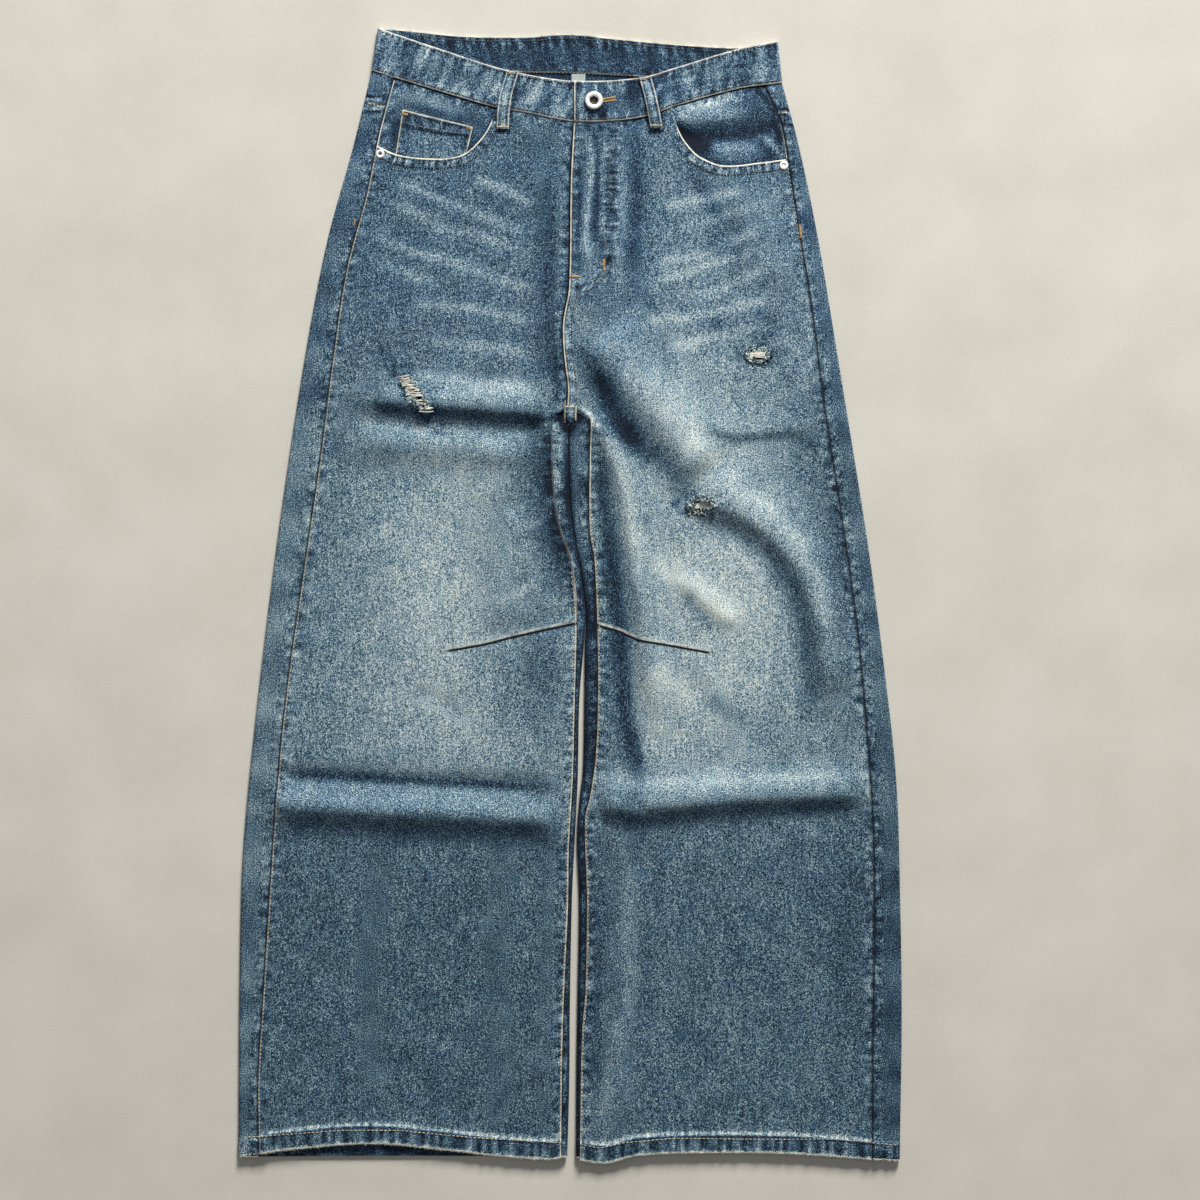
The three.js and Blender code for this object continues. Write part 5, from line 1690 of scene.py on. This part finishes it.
# ---------------------------------------------------------------- waistband
@dataclass
class Band:
    """The waistband, round from its lapped left end to its right end beneath, and its loops."""

    radius: float = BAND_HEIGHT / 2
    rows: int = 18
    lap_x: float = 4.1
    underlap_x: float = 44.0
    loop_width: float = 11.5
    loop_cloth: float = 1.6

    def edge(self, rise: Array, side: int) -> tuple[Array, Array]:
        """The band's side fold: its x and y, a share of the way up it."""
        low, high = ((-187, 496.2), (-181, 536)) if side == RIGHT else ((200, 484.4), (196, 523.6))
        return mix(low[0], high[0], rise), mix(low[1], high[1], rise)

    def build(self) -> bpy.types.Object:
        """Makes the band as one closed sheet."""
        rise = (1 - np.cos(np.linspace(0, math.pi, self.rows)))[:, None] / 2
        angle = np.radians(np.linspace(90, 270, 9))[None, 1:-1]
        left_x, left_y = self.edge(rise, LEFT)
        right_x, right_y = self.edge(rise, RIGHT)
        lap = mix(self.lap_x, left_x - self.radius, np.linspace(0, 1, 66))
        back = mix(left_x - self.radius, right_x + self.radius, np.linspace(0, 1, 120))
        right = mix(right_x + self.radius, self.underlap_x, np.linspace(0, 1, 76))
        over_y = [mix(FRONT_BAND_SEAM(x), FRONT_BAND_TOP(x), rise) for x in (lap, right)]
        back_y = mix(back_band_seam(back), BACK_BAND_TOP(back), rise)
        left_look = xyz(-np.cos(angle) + 0 * rise, 0 * rise, np.sin(angle))
        right_look = xyz(np.cos(angle[:, ::-1]) + 0 * rise, 0 * rise, np.sin(angle[:, ::-1]))
        folds = [
            xyz(left_x - self.radius + 0 * angle, left_y, self.radius) + left_look * self.radius,
            xyz(right_x + self.radius + 0 * angle, right_y, self.radius) + right_look * self.radius,
        ]
        parts = [
            (xyz(lap, over_y[0], band_top(lap)), UP, 0.0),
            (folds[0], left_look, 0.3),
            (xyz(back, back_y, 0.0), DOWN, 1.0),
            (folds[1], right_look, 0.3),
            (xyz(right, over_y[1], BAND_HEIGHT), UP, 0.0),
        ]
        face = np.concatenate([part for part, _, _ in parts], 1)
        look = np.concatenate([np.broadcast_to(way, part.shape) for part, way, _ in parts], 1)
        behind = np.concatenate([np.full(part.shape[:2], share) for part, _, share in parts], 1)
        x, y, _ = np.moveaxis(face, -1, 0)
        steps = np.diff(face[..., :2], axis=1, prepend=face[:, :1, :2])
        along = np.cumsum(np.hypot(steps[..., 0], steps[..., 1]), 1)
        drop, climb = (1 - rise) * BAND_WIDTH + 0 * x, rise * BAND_WIDTH + 0 * x
        beside = Beside(x.shape)
        beside.add(SeamLook(13, 9, 0.3, 0.13, 0.75, 0.0), drop, along, 1.0)
        beside.add(SeamLook(9, 8, 0.25, 0.12, 0.6, 0.0), climb, along, 4.0)
        beside.seam = np.minimum(beside.seam, np.minimum(along, 40.0))
        face[..., 2] += beside.lift * (look[..., 2] > 0.5)
        clouds = 0.11 * ripple(along, 43.0, 2.0) * np.sin(rise * 5 + along / 60)
        tone = 0.35 + clouds + 0.08 * ripple(along, 17.0, 5.0)
        front = behind == 0
        tone = tone - 0.16 * bell(x - 55, 40) * front * (x > 0)
        slant = ripple(rise * BAND_WIDTH + 0.12 * along, 7.0, 1.0)
        tone = tone + 0.07 * slant * front * smooth((x - 60) / 40)
        tone = tone + (loop_shade(x, y) - 0.06 * smooth((x - 110) / 40)) * front
        lining_seam = Beside(x.shape)
        lining_seam.add(SeamLook(14, 9, 0.2, 0.17, 0.9, 0.0), drop, along, 2.0)
        lining_seam.add(SeamLook(9, 12, 0.2, 0.07, 0.3, 0.0), climb, along, 6.0)
        lining = lining_seam.marks(0.14 + 0.05 * ripple(along, 23.0, 3.0))
        slots = sum(smooth((6.9 - np.abs(x - at)) / 0.8) for at in BACK_LOOP_X.values()) * 1.5 * (behind == 1)
        face[..., 2] += slots
        thick = BAND_CLOTH - slots + np.where(behind == 1, 0.4 * lining_seam.lift, 0.0)
        cloth = Cloth(face, thick, look, None, beside.marks(tone), lining)
        return cloth.build("waistband_cloth", ["waistband"], "band_denim")

    def loop(self, node: str, path: Path, level: float, thick: float, down: bool) -> bpy.types.Object:
        """Makes a belt loop: a folded strip along a path, its ends tacked down.

        Args:
            node: The CAD node it stands for.
            path: Its centre line as (x, y), low end first.
            level: Height of its face.
            thick: Its thickness.
            down: True where it lies on the floor side.

        Returns:
            The object.
        """
        rows, columns = 34, 13
        corners = np.array(path, float)
        passed = passed_along(corners)
        along = np.linspace(0, passed[-1], rows)[:, None]
        middle_x = np.interp(along, passed, corners[:, 0])
        across = np.linspace(-0.5, 0.5, columns)[None, :]
        y = np.interp(along, passed, corners[:, 1]) + 0 * across
        x = middle_x + across * self.loop_width
        side_gap = (0.5 - np.abs(across)) * self.loop_width + 0 * x
        end_gap = np.minimum(along, passed[-1] - along) + 0 * x
        beside = Beside(x.shape)
        beside.add(SeamLook(3.6, 5, 0.06, 0.1, 0.45, 0.0), side_gap, along + 0 * x, 2.0)
        beside.seam = np.minimum(beside.seam, end_gap)
        crease = -0.35 * bell(side_gap - 3.2, 0.9)
        tacked = -0.35 * bell(end_gap - 3.0, 1.6)
        rounded = -0.5 * smooth(1 - np.minimum(side_gap, end_gap) / 1.3)
        middle = 0.8 * smooth((end_gap - 5) / 9)
        tone = 0.46 - 0.2 * bell(side_gap - 2.4, 1.0) + 0.07 * ripple(along, 13.0, path[0][0]) + 0 * x
        z = level + 0 * x if down else level + crease + tacked + rounded + middle
        cloth = Cloth(xyz(x, y, z), thick, DOWN if down else UP, None, beside.marks(tone), {}, down)
        return cloth.build(f"{node}_strip", [node], "band_denim")

    def build_loops(self) -> list[bpy.types.Object]:
        """Makes the two loops on the front and the three on the back."""
        made = []
        for side, path in FRONT_LOOPS.items():
            level = max(float(band_top(np.array(x + edge * 6))) for x, _ in path for edge in (-1, 1))
            face = level + GAP + self.loop_cloth
            made.append(self.loop(f"belt_loop_front_{WORDS[side]}", path, face, self.loop_cloth, False))
        for word, x in BACK_LOOP_X.items():
            low, high = float(back_band_seam(np.array(x))) + 1, float(BACK_BAND_TOP(np.array(x))) - 1
            made.append(self.loop(f"belt_loop_back_{word}", ((x, low), (x, high)), 0.0, CLOTH, True))
        return made


# ---------------------------------------------------------------- fly, label and metal
def flat_sheet(name: str, node: str, x: Array, y: Array, low: float, thick: float, slot: str, finish: Finish,
               wave: float = 0.0) -> bpy.types.Object:
    """Makes a thin sheet over a grid of places, its underside at `low`, with a faint wave along it."""
    face = xyz(x, y, low + thick + wave * ripple(x, 14.0))
    return Cloth(face, thick).build(name, [node], slot, finish)


def fly_shield() -> bpy.types.Object:
    """Makes the plain shield under the fly, its low outer corner rounded."""
    share, rise = shares(18, 40)
    x, round_corner = mix(-14, 36, share), 18
    foot = 294 + round_corner - np.sqrt(np.maximum(round_corner**2 - np.maximum(x - 18, 0) ** 2, 0))
    return flat_sheet("fly_shield_cloth", "fly_shield", x, mix(foot, 446, rise), 1.6, CLOTH, "band_denim",
                      Finish.HIDDEN_DENIM)


def care_label() -> bpy.types.Object:
    """Makes the blank label stub at the inside centre back."""
    share, rise = shares(14, 8)
    return flat_sheet("care_label_cloth", "care_label", mix(1.5, 14.5, share), mix(481, 493, rise), 1.5, 1.0,
                      "label_cloth", Finish.LABEL, 0.12)


def turned_ring(name: str, node: str, profile: Path, place: tuple[float, float, float], finish: Finish) -> bpy.types.Object:
    """Makes a turned part: a closed profile of (radius, height) carried round an upright axis.

    Args:
        name: The piece's name.
        node: The CAD node it stands for.
        profile: Corners of the section, outside first and going up.
        place: Where the axis meets the seat of the part.
        finish: Its finish.

    Returns:
        The object.
    """
    corners = np.array([*profile, profile[0]], float)
    t = np.arange(len(corners))
    fine = np.linspace(0, len(corners) - 1, 4 * (len(corners) - 1) + 1)[:-1]
    radius, height = np.interp(fine, t, corners[:, 0]), np.interp(fine, t, corners[:, 1])
    for _ in range(2):
        radius = (np.roll(radius, 1) + 2 * radius + np.roll(radius, -1)) / 4
        height = (np.roll(height, 1) + 2 * height + np.roll(height, -1)) / 4
    turns = np.linspace(0, 2 * math.pi, 48, endpoint=False)
    x = place[0] + radius[:, None] * np.cos(turns)
    y = place[1] + radius[:, None] * np.sin(turns)
    points = xyz(x, y, place[2] + height[:, None])
    number = np.arange(points[..., 0].size).reshape(x.shape)
    ahead, over = np.roll(number, -1, 1), np.roll(number, -1, 0)
    faces = np.stack([number, ahead, np.roll(ahead, -1, 0), over], -1).reshape(-1, 4)
    return piece(name, points.reshape(-1, 3), faces, finish, [node], sharp=70.0)


@dataclass
class Hardware:
    """The shank button, its sunken middle and the two rivets. The slip is how far towards the feet the
    button sits from BUTTON; a rivet sits half as far from its place."""

    outer: float = 8.6
    inner: float = 3.9
    height: float = 3.2
    rivet: float = 4.3
    slip: float = 2.4
    rivet_level: float = 6.0

    def build(self) -> None:
        """Makes the metal parts."""
        x, y = BUTTON[0], BUTTON[1] - self.slip
        base = float(band_top(np.array(x))) + GAP
        o, i, h = self.outer, self.inner, self.height
        ring = ((o - 1.2, 0), (o, 1.0), (o - 0.15, h - 0.9), (o - 1.1, h - 0.1), ((o + i) / 2, h),
                (i + 0.7, h - 0.3), (i, h - 1.4), (i, 0))
        r = i - GAP
        cup = ((r, 0), (r, 1.0), (r - 0.9, 1.0), (r * 0.55, 0.55), (0.4, 0.75), (0.05, 0.75), (0.05, 0))
        turned_ring("button_ring", "button", ring, (x, y, base), Finish.SILVER)
        turned_ring("button_cup", "button_centre", cup, (x, y, base), Finish.CENTRE)
        q = self.rivet
        cap = ((q, 0), (q, 0.35), (q * 0.84, 0.95), (q * 0.5, 1.1), (q * 0.34, 0.5), (0.05, 0.45), (0.05, 0))
        for side, (rx, ry) in RIVETS.items():
            seat, word = (rx, ry - self.slip / 2, self.rivet_level + GAP), WORDS[side]
            turned_ring(f"rivet_cap_{word}", f"rivet_{word}", cap, seat, Finish.SILVER)


# ---------------------------------------------------------------- sewing
def bars(points: Path, width: float, pitch: float = 0.85) -> Array:
    """A bartack: close stitches across a short path.

    Args:
        points: The bar's centre line as (x, y).
        width: Length of each stitch, across the bar.
        pitch: Distance between stitches.

    Returns:
        The stitches' ends, (count, 2, 3), on the cloth.
    """
    corners = np.array(points, float)
    passed = passed_along(corners)
    places = np.arange(0, passed[-1], pitch)
    x, y = np.interp(places, passed, corners[:, 0]), np.interp(places, passed, corners[:, 1])
    along = (corners[-1] - corners[0]) / np.hypot(*(corners[-1] - corners[0]))
    offset = np.array((-along[1], along[0])) * width / 2
    slant = along * 0.25
    ends = np.stack([np.stack([x, y], -1) - offset - slant, np.stack([x, y], -1) + offset + slant], 1)
    return np.concatenate([ends, GROUND(ends[..., 0], ends[..., 1])[..., None]], -1)


@dataclass
class Sewing:
    """All the visible topstitching, run by run, and the gold bartacks and buttonhole."""

    def seams(self) -> None:
        """Makes the runs of the fly, waistband, pockets and hems."""
        fly = Stitching("stitches_fly")
        rise = drawn(RISE_SEAM, 446, 293, False)
        fly.run(beside_of(rise, 2.2), GROUND).run(J_STITCH, GROUND).run(beside_of(J_STITCH, -6.0), GROUND)
        crotch = drawn(RISE_SEAM, 288, 180, False)
        fly.run(beside_of(crotch, 2.0), GROUND).run(beside_of(crotch, 8.0), GROUND)
        band = Stitching("stitches_band")
        lap = drawn(FRONT_BAND_TOP, 5.5, 192)
        low_lap = drawn(FRONT_BAND_SEAM, 5.5, 196)
        top = drawn(FRONT_BAND_TOP, -177, 1.5)
        low = drawn(FRONT_BAND_SEAM, -182, 1.5)
        for path, away in ((lap, -2.4), (low_lap, 2.4), (top, -2.4), (low, 2.4)):
            band.run(beside_of(path, away), GROUND)
        band.run(((6.6, 449.5), (6.2, 485)), GROUND)
        inside = drawn(BACK_BAND_TOP, -150, 172)
        foot = drawn(back_band_seam, -52, 60)
        band.run(beside_of(inside, -4.0), GROUND).run(beside_of(foot, 1.0), GROUND)
        pockets = Stitching("stitches_pockets", pitch=3.0, radius=0.38)
        for side in (RIGHT, LEFT):
            ends = (-174.0, -71.0) if side == RIGHT else (97.5, 197.0)
            scoop = drawn(SCOOP[side], *ends, True, 3.0)
            pockets.run(beside_of(scoop, -1.9), GROUND).run(beside_of(scoop, -8.6), GROUND)
        coin = HipPocket(LEGS[RIGHT])
        across, up = np.linspace(0.03, 0.97, 20), np.linspace(0.02, 0.97, 12)
        for rise_share in (0.95, 0.71):
            pockets.run(np.stack(coin.coin_point(across, np.full(20, rise_share)), -1), GROUND)
        for share in (0.025, 0.975):
            pockets.run(np.stack(coin.coin_point(np.full(12, share), up), -1), GROUND)
        for path in FRONT_LOOPS.values():
            for away in (-3.5, 3.5):
                pockets.run(beside_of(path, away), GROUND)
        for side in (RIGHT, LEFT):
            inner, outer = float(OUTSEAM[side](YOKE_SIDE_Y[side])), float(OUTER_EDGE[side](YOKE_SIDE_Y[side]))
            for drop in (2.0, 7.6):
                y = YOKE_SIDE_Y[side] - drop
                pockets.run(((inner + side * 2, y), (outer - side * 3, y)), GROUND)
        hems = Stitching("stitches_hems", Finish.TAN, 4.0, 0.45)
        hems.run(((-308, -509), (-215, -502), (-161.7, -502), (-89.6, -509), (-7.5, -513.8)), GROUND)
        hems.run(((9, -514.7), (27.4, -519), (50.9, -513.7), (99, -509.4), (174.5, -510.4), (250.5, -510.4),
                  (285, -513.7), (308, -516)), GROUND)
        for sewn in (fly, band, pockets, hems):
            sewn.build()

    def long_seams(self) -> None:
        """Makes the tan runs down the inseams and side seams."""
        for side in (RIGHT, LEFT):
            leg, word = LEGS[side], WORDS[side]
            inseam = drawn(leg.front_inner, -508, 24 if side == RIGHT else 96, False)
            outseam = drawn(leg.front_outer, -505 if side == RIGHT else 318, 420, False)
            run = Stitching(f"stitches_inseam_{word}", Finish.TAN, 3.6, 0.42)
            run.run(beside_of(inseam, side * -1.3), GROUND).build()
            run = Stitching(f"stitches_side_{word}", Finish.TAN, 3.8, 0.33)
            run.run(beside_of(outseam, side * 0.9), GROUND, 0.6).build()

    def gold(self) -> bpy.types.Object:
        """Makes the bartacks and the buttonhole's stitching."""
        tacks = [
            (((32, 317), (32, 307)), 2.6), (((0.5, 301.5), (9, 301.5)), 2.2),
            (((-202.0, 359), (-202.9, 350)), 2.2), (((216.6, 350), (217.6, 338)), 2.4),
            (((-158, 455), (-152.5, 453.7)), 3.4), (((-97, 442), (-92.5, 441)), 3.4),
            (((-58, 492.6), (-52, 492.6)), 1.6), (((67, 486.6), (72, 486.6)), 1.6),
        ]
        ends = [bars(path, width) for path, width in tacks]
        for away in (-1.3, 1.3):
            ends.append(bars(beside_of(((31.5, 467.2), (43, 469)), away), 1.7, 0.8))
        points, faces = beads(np.concatenate(ends), 0.42)
        return piece("gold_tacks", points, faces, Finish.GOLD, ())

    def pale(self) -> bpy.types.Object:
        """Makes the rubbed tacks at the front loops' feet and over the crotch's cross."""
        tacks = [
            (((-68.4, 442.4), (-58, 442.4)), 1.9), (((76.4, 443.4), (86.8, 443.4)), 1.9),
            (((-4.6, 184), (-5.0, 164)), 0.9), (((-0.8, 181), (-0.6, 174)), 0.8),
            (((4.6, 182), (5.2, 166)), 0.9),
        ]
        points, faces = beads(np.concatenate([bars(path, width) for path, width in tacks]), 0.4)
        return piece("pale_tacks", points, faces, Finish.TAN, ())


# ---------------------------------------------------------------- frayed threads
@dataclass
class Fray:
    """Loose threads: weft threads across the rips, fringes round them, and fibres along the hems."""

    steps: int = 7
    seed: int = 7

    def strands(self, start: Array, end: Array, sag: Array, rng: np.random.Generator, wander: float) -> Array:
        """Paths of threads from start to end, (count, steps, 3), bent a little sideways and down."""
        share = np.linspace(0, 1, self.steps)[None, :, None]
        path = mix(start[:, None], end[:, None], share)
        bow = np.sin(math.pi * share[..., 0])
        count = len(start)
        swing = bow * rng.normal(0, wander, (count, 1))
        path[..., 1] += swing + rng.normal(0, wander * 0.25, (count, self.steps))
        path[..., 2] += sag[:, None] * bow
        return path

    def rip(self, rip: Rip, rng: np.random.Generator) -> None:
        """Makes one rip's pale weft threads and its fringe of pale and blue tufts.

        Args:
            rip: The hole.
            rng: The draw of random numbers.
        """
        level = float(GROUND(rip.x - 0.7 * rip.length, rip.y))
        half_tall = abs(math.sin(math.radians(rip.turn))) * rip.length / 2 + rip.width / 2 * 0.92
        count = 26 if rip.turn else 20
        y = np.linspace(-half_tall, half_tall, count) * 0.93 + rng.normal(0, 0.25, count)
        if not rip.turn:
            middle = -0.12 if rip.name.endswith("knee") else 0.0
            y = np.clip(rng.normal(middle, 0.34, count), -0.9, 0.9) * half_tall
        centre = rip.x - (y / math.tan(math.radians(-rip.turn)) if rip.turn else 0 * y)
        reach = (rip.width * 0.5 / abs(math.sin(math.radians(rip.turn))) if rip.turn
                 else rip.length / 2 * np.sqrt(np.maximum(1 - (y / half_tall) ** 2, 0.05)))
        reach = reach + 1.6
        start = xyz(centre - reach + rng.normal(0, 0.8, count), rip.y + y, level - 0.3)
        end_x = centre + reach + rng.normal(0, 0.8, count)
        end = xyz(end_x, rip.y + y + rng.normal(0, 1.0, count), level - 0.3)
        weft = self.strands(start, end, rng.uniform(0.4, 1.7, count), rng, 0.7)
        points, faces = tubes(weft, rng.uniform(0.3, 0.52, (count, 1)))
        piece(f"{rip.name}_weft", points, faces, Finish.COTTON, ())
        tufts = 170
        turn = rng.uniform(0, 2 * math.pi, tufts)
        c, s = math.cos(math.radians(rip.turn)), math.sin(math.radians(rip.turn))
        spread = np.clip(rng.normal(2.2, 1.9, tufts), -1.5, 6.0)
        u = np.cos(turn) * (rip.length / 2 + 0.6 * spread)
        v = np.sin(turn) * (rip.width / 2 + spread)
        root_x, root_y = rip.x + u * c - v * s, rip.y + u * s + v * c
        level = np.maximum(GROUND(root_x, root_y), level - 1.0)
        paths = self.curls(root_x, root_y, level, rng)
        pale = rng.uniform(0, 1, tufts) < 0.56
        for word, some, finish in (("pale", pale, Finish.PALE_YARN), ("blue", ~pale, Finish.BLUE_YARN)):
            points, faces = tubes(paths[some], rng.uniform(0.24, 0.5, (int(some.sum()), 1)))
            piece(f"{rip.name}_tufts_{word}", points, faces, finish, ())

    def curls(self, x: Array, y: Array, z: Array, rng: np.random.Generator) -> Array:
        """Paths of short curled tufts: each goes part of the way round a small circle and rises off the
        cloth and back, by a half sine.

        Args:
            x: Roots' x.
            y: Roots' y.
            z: Height of the cloth there.
            rng: The draw of random numbers.

        Returns:
            The paths, (count, steps, 3).
        """
        count = len(x)
        share = np.linspace(0, 1, self.steps)[None, :]
        start = rng.uniform(0, 2 * math.pi, (count, 1))
        turn = start + rng.uniform(1.6, 4.6, (count, 1)) * share * rng.choice((-1.0, 1.0), (count, 1))
        radius = rng.uniform(0.45, 1.35, (count, 1))
        px = x[:, None] + radius * (np.cos(turn) - np.cos(start))
        py = y[:, None] + radius * (np.sin(turn) - np.sin(start))
        rise = -0.2 + rng.uniform(0.5, 2.0, (count, 1)) * np.sin(math.pi * share)
        return np.stack([px, py, z[:, None] + rise], -1)

    def hem(self, side: int, rng: np.random.Generator) -> bpy.types.Object:
        """Makes the short pale fibres along a front hem's worn edge."""
        count = 520
        low, high = (-309.0, -6.0) if side == RIGHT else (9.0, 308.0)
        x = rng.uniform(low, high, count)
        y = HEM[side](x)
        start = np.stack([x, y + rng.uniform(0.5, 2.2, count), np.full(count, 0.0)], -1)
        start[:, 2] = GROUND(start[:, 0], start[:, 1] + 0.8) + 0.1
        end = np.stack([x + rng.normal(0, 1.1, count), y - rng.uniform(0.0, 1.4, count),
                        rng.uniform(3.4, 5.0, count)], -1)
        paths = self.strands(start, end, rng.uniform(0, 0.5, count), rng, 0.3)
        points, faces = tubes(paths[:, ::2], rng.uniform(0.16, 0.32, (count, 1)))
        return piece(f"hem_fibres_{WORDS[side]}", points, faces, Finish.COTTON, ())

    def build(self) -> None:
        """Makes all loose threads, from one seeded draw."""
        rng = np.random.default_rng(self.seed)
        for rip in RIPS:
            self.rip(rip, rng)
        for side in (RIGHT, LEFT):
            self.hem(side, rng)


# ---------------------------------------------------------------- stage
@dataclass
class Stage:
    """The floor, the soft lights and the camera straight above."""

    centre: tuple[float, float] = (0.0283, -0.0028)
    height: float = 3.0
    width: float = 1.132
    floor: Plain = Plain("concrete", (182, 177, 166), (199, 195, 185), 640.0, 0.9, 0.9)

    def add_floor(self) -> None:
        """Makes the plain pale floor just below the cloth."""
        half, low = 3.0, -0.0003
        mesh = bpy.data.meshes.new("floor")
        mesh.from_pydata([(-half, -half, low), (half, -half, low), (half, half, low), (-half, half, low)], [],
                         [(0, 1, 2, 3)])
        mesh.materials.append(self.floor.material())
        floor = bpy.data.objects.new("floor", mesh)
        bpy.context.scene.collection.objects.link(floor)

    def add_light(self, name: str, place: tuple[float, float, float], size: float, power: float,
                  colour: tuple[float, float, float]) -> None:
        """Adds a square soft light that looks at the jeans' middle."""
        data = bpy.data.lights.new(name, "AREA")
        data.size = size
        data.energy = power
        data.color = colour
        light = bpy.data.objects.new(name, data)
        bpy.context.scene.collection.objects.link(light)
        look = -np.array(place) / np.linalg.norm(place)
        light.location = place
        light.rotation_euler = (math.acos(-look[2]), 0.0, math.atan2(look[1], look[0]) - math.pi / 2)

    def build(self) -> None:
        """Makes the stage."""
        scene = bpy.context.scene
        self.add_floor()
        self.add_light("window", (1.3, 5.2, 2.7), 1.7, 755.0, (1.0, 0.99, 0.97))
        self.add_light("overhead", (0.0, 0.2, 3.6), 3.0, 14.0, (0.95, 0.97, 1.0))
        world = bpy.data.worlds.new("studio")
        scene.world = world
        world.use_nodes = True
        background = world.node_tree.nodes["Background"]
        background.inputs[0].default_value = (0.92, 0.96, 1.0, 1.0)
        background.inputs[1].default_value = 0.17
        data = bpy.data.cameras.new("camera")
        data.sensor_fit = "HORIZONTAL"
        data.angle = 2 * math.atan(self.width / 2 / self.height)
        data.clip_start = 0.01
        camera = bpy.data.objects.new("camera", data)
        camera.location = (*self.centre, self.height)
        scene.collection.objects.link(camera)
        scene.camera = camera
        scene.view_settings.view_transform = "Standard"


@dataclass(frozen=True)
class Cut:
    """The cut of what shows of a piece of cloth: the width and length it was cut within and its flat area,
    in metres, and what it lies on."""

    width: float
    length: float
    area: float
    lies_on: str = "floor"


CUTS = {
    "front_leg": Cut(0.32, 1.02, 0.243, "back_leg"), "back_leg": Cut(0.38, 0.98, 0.302),
    "yoke_cloth": Cut(0.24, 0.08, 0.0112), "facing": Cut(0.13, 0.075, 0.0085, "yoke_cloth"),
    "seat_pocket": Cut(0.13, 0.149, 0.0174), "waistband_cloth": Cut(0.81, 0.04, 0.0315),
    "coin_pocket_cloth": Cut(0.068, 0.045, 0.0025, "facing_right"),
    "belt_loop_front": Cut(0.0115, 0.057, 0.00065, "waistband_cloth"),
    "belt_loop_back": Cut(0.0115, 0.035, 0.0004), "fly_shield_cloth": Cut(0.05, 0.152, 0.0075, "back_leg"),
    "care_label_cloth": Cut(0.0135, 0.0135, 0.00018, "waistband_cloth"),
    "crotch_cross": Cut(0.012, 0.0185, 0.00022, "front_leg"),
}


def declare_sheets(things: Sequence[bpy.types.Object]) -> None:
    """Looks up the cut of each piece of cloth and works out its flat area, which is not used further."""
    for thing in things:
        cut = next((some for start, some in CUTS.items() if thing.name.startswith(start)), None)
        if cut is None:
            continue
        area = min(cut.area, cut.width * cut.length)


def main() -> None:
    """Builds the jeans piece by piece and dresses the parts kept from the frame."""
    logging.basicConfig(level=logging.INFO, format="%(message)s")
    things: list[bpy.types.Object] = []
    for side in (RIGHT, LEFT):
        leg = LEGS[side]
        things += [Back(leg).build(), Back(leg, yoke=True).build(), seat_pocket(side)]
        things.append(HipPocket(leg).build())
    things.append(HipPocket(LEGS[RIGHT]).build_coin())
    things += [Front(LEGS[side]).build() for side in (RIGHT, LEFT)]
    things += [crotch_cross(), fly_shield(), care_label()]
    band = Band()
    things.append(band.build())
    things += band.build_loops()
    Hardware().build()
    sewing = Sewing()
    sewing.seams()
    sewing.long_seams()
    sewing.gold()
    sewing.pale()
    Fray().build()
    zip_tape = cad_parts["zip"]
    zip_tape.data.materials.clear()
    zip_tape.data.materials.append(Finish.TAPE.material)
    declare_sheets(things)
    Stage().build()


if __name__ == "__main__":
    main()
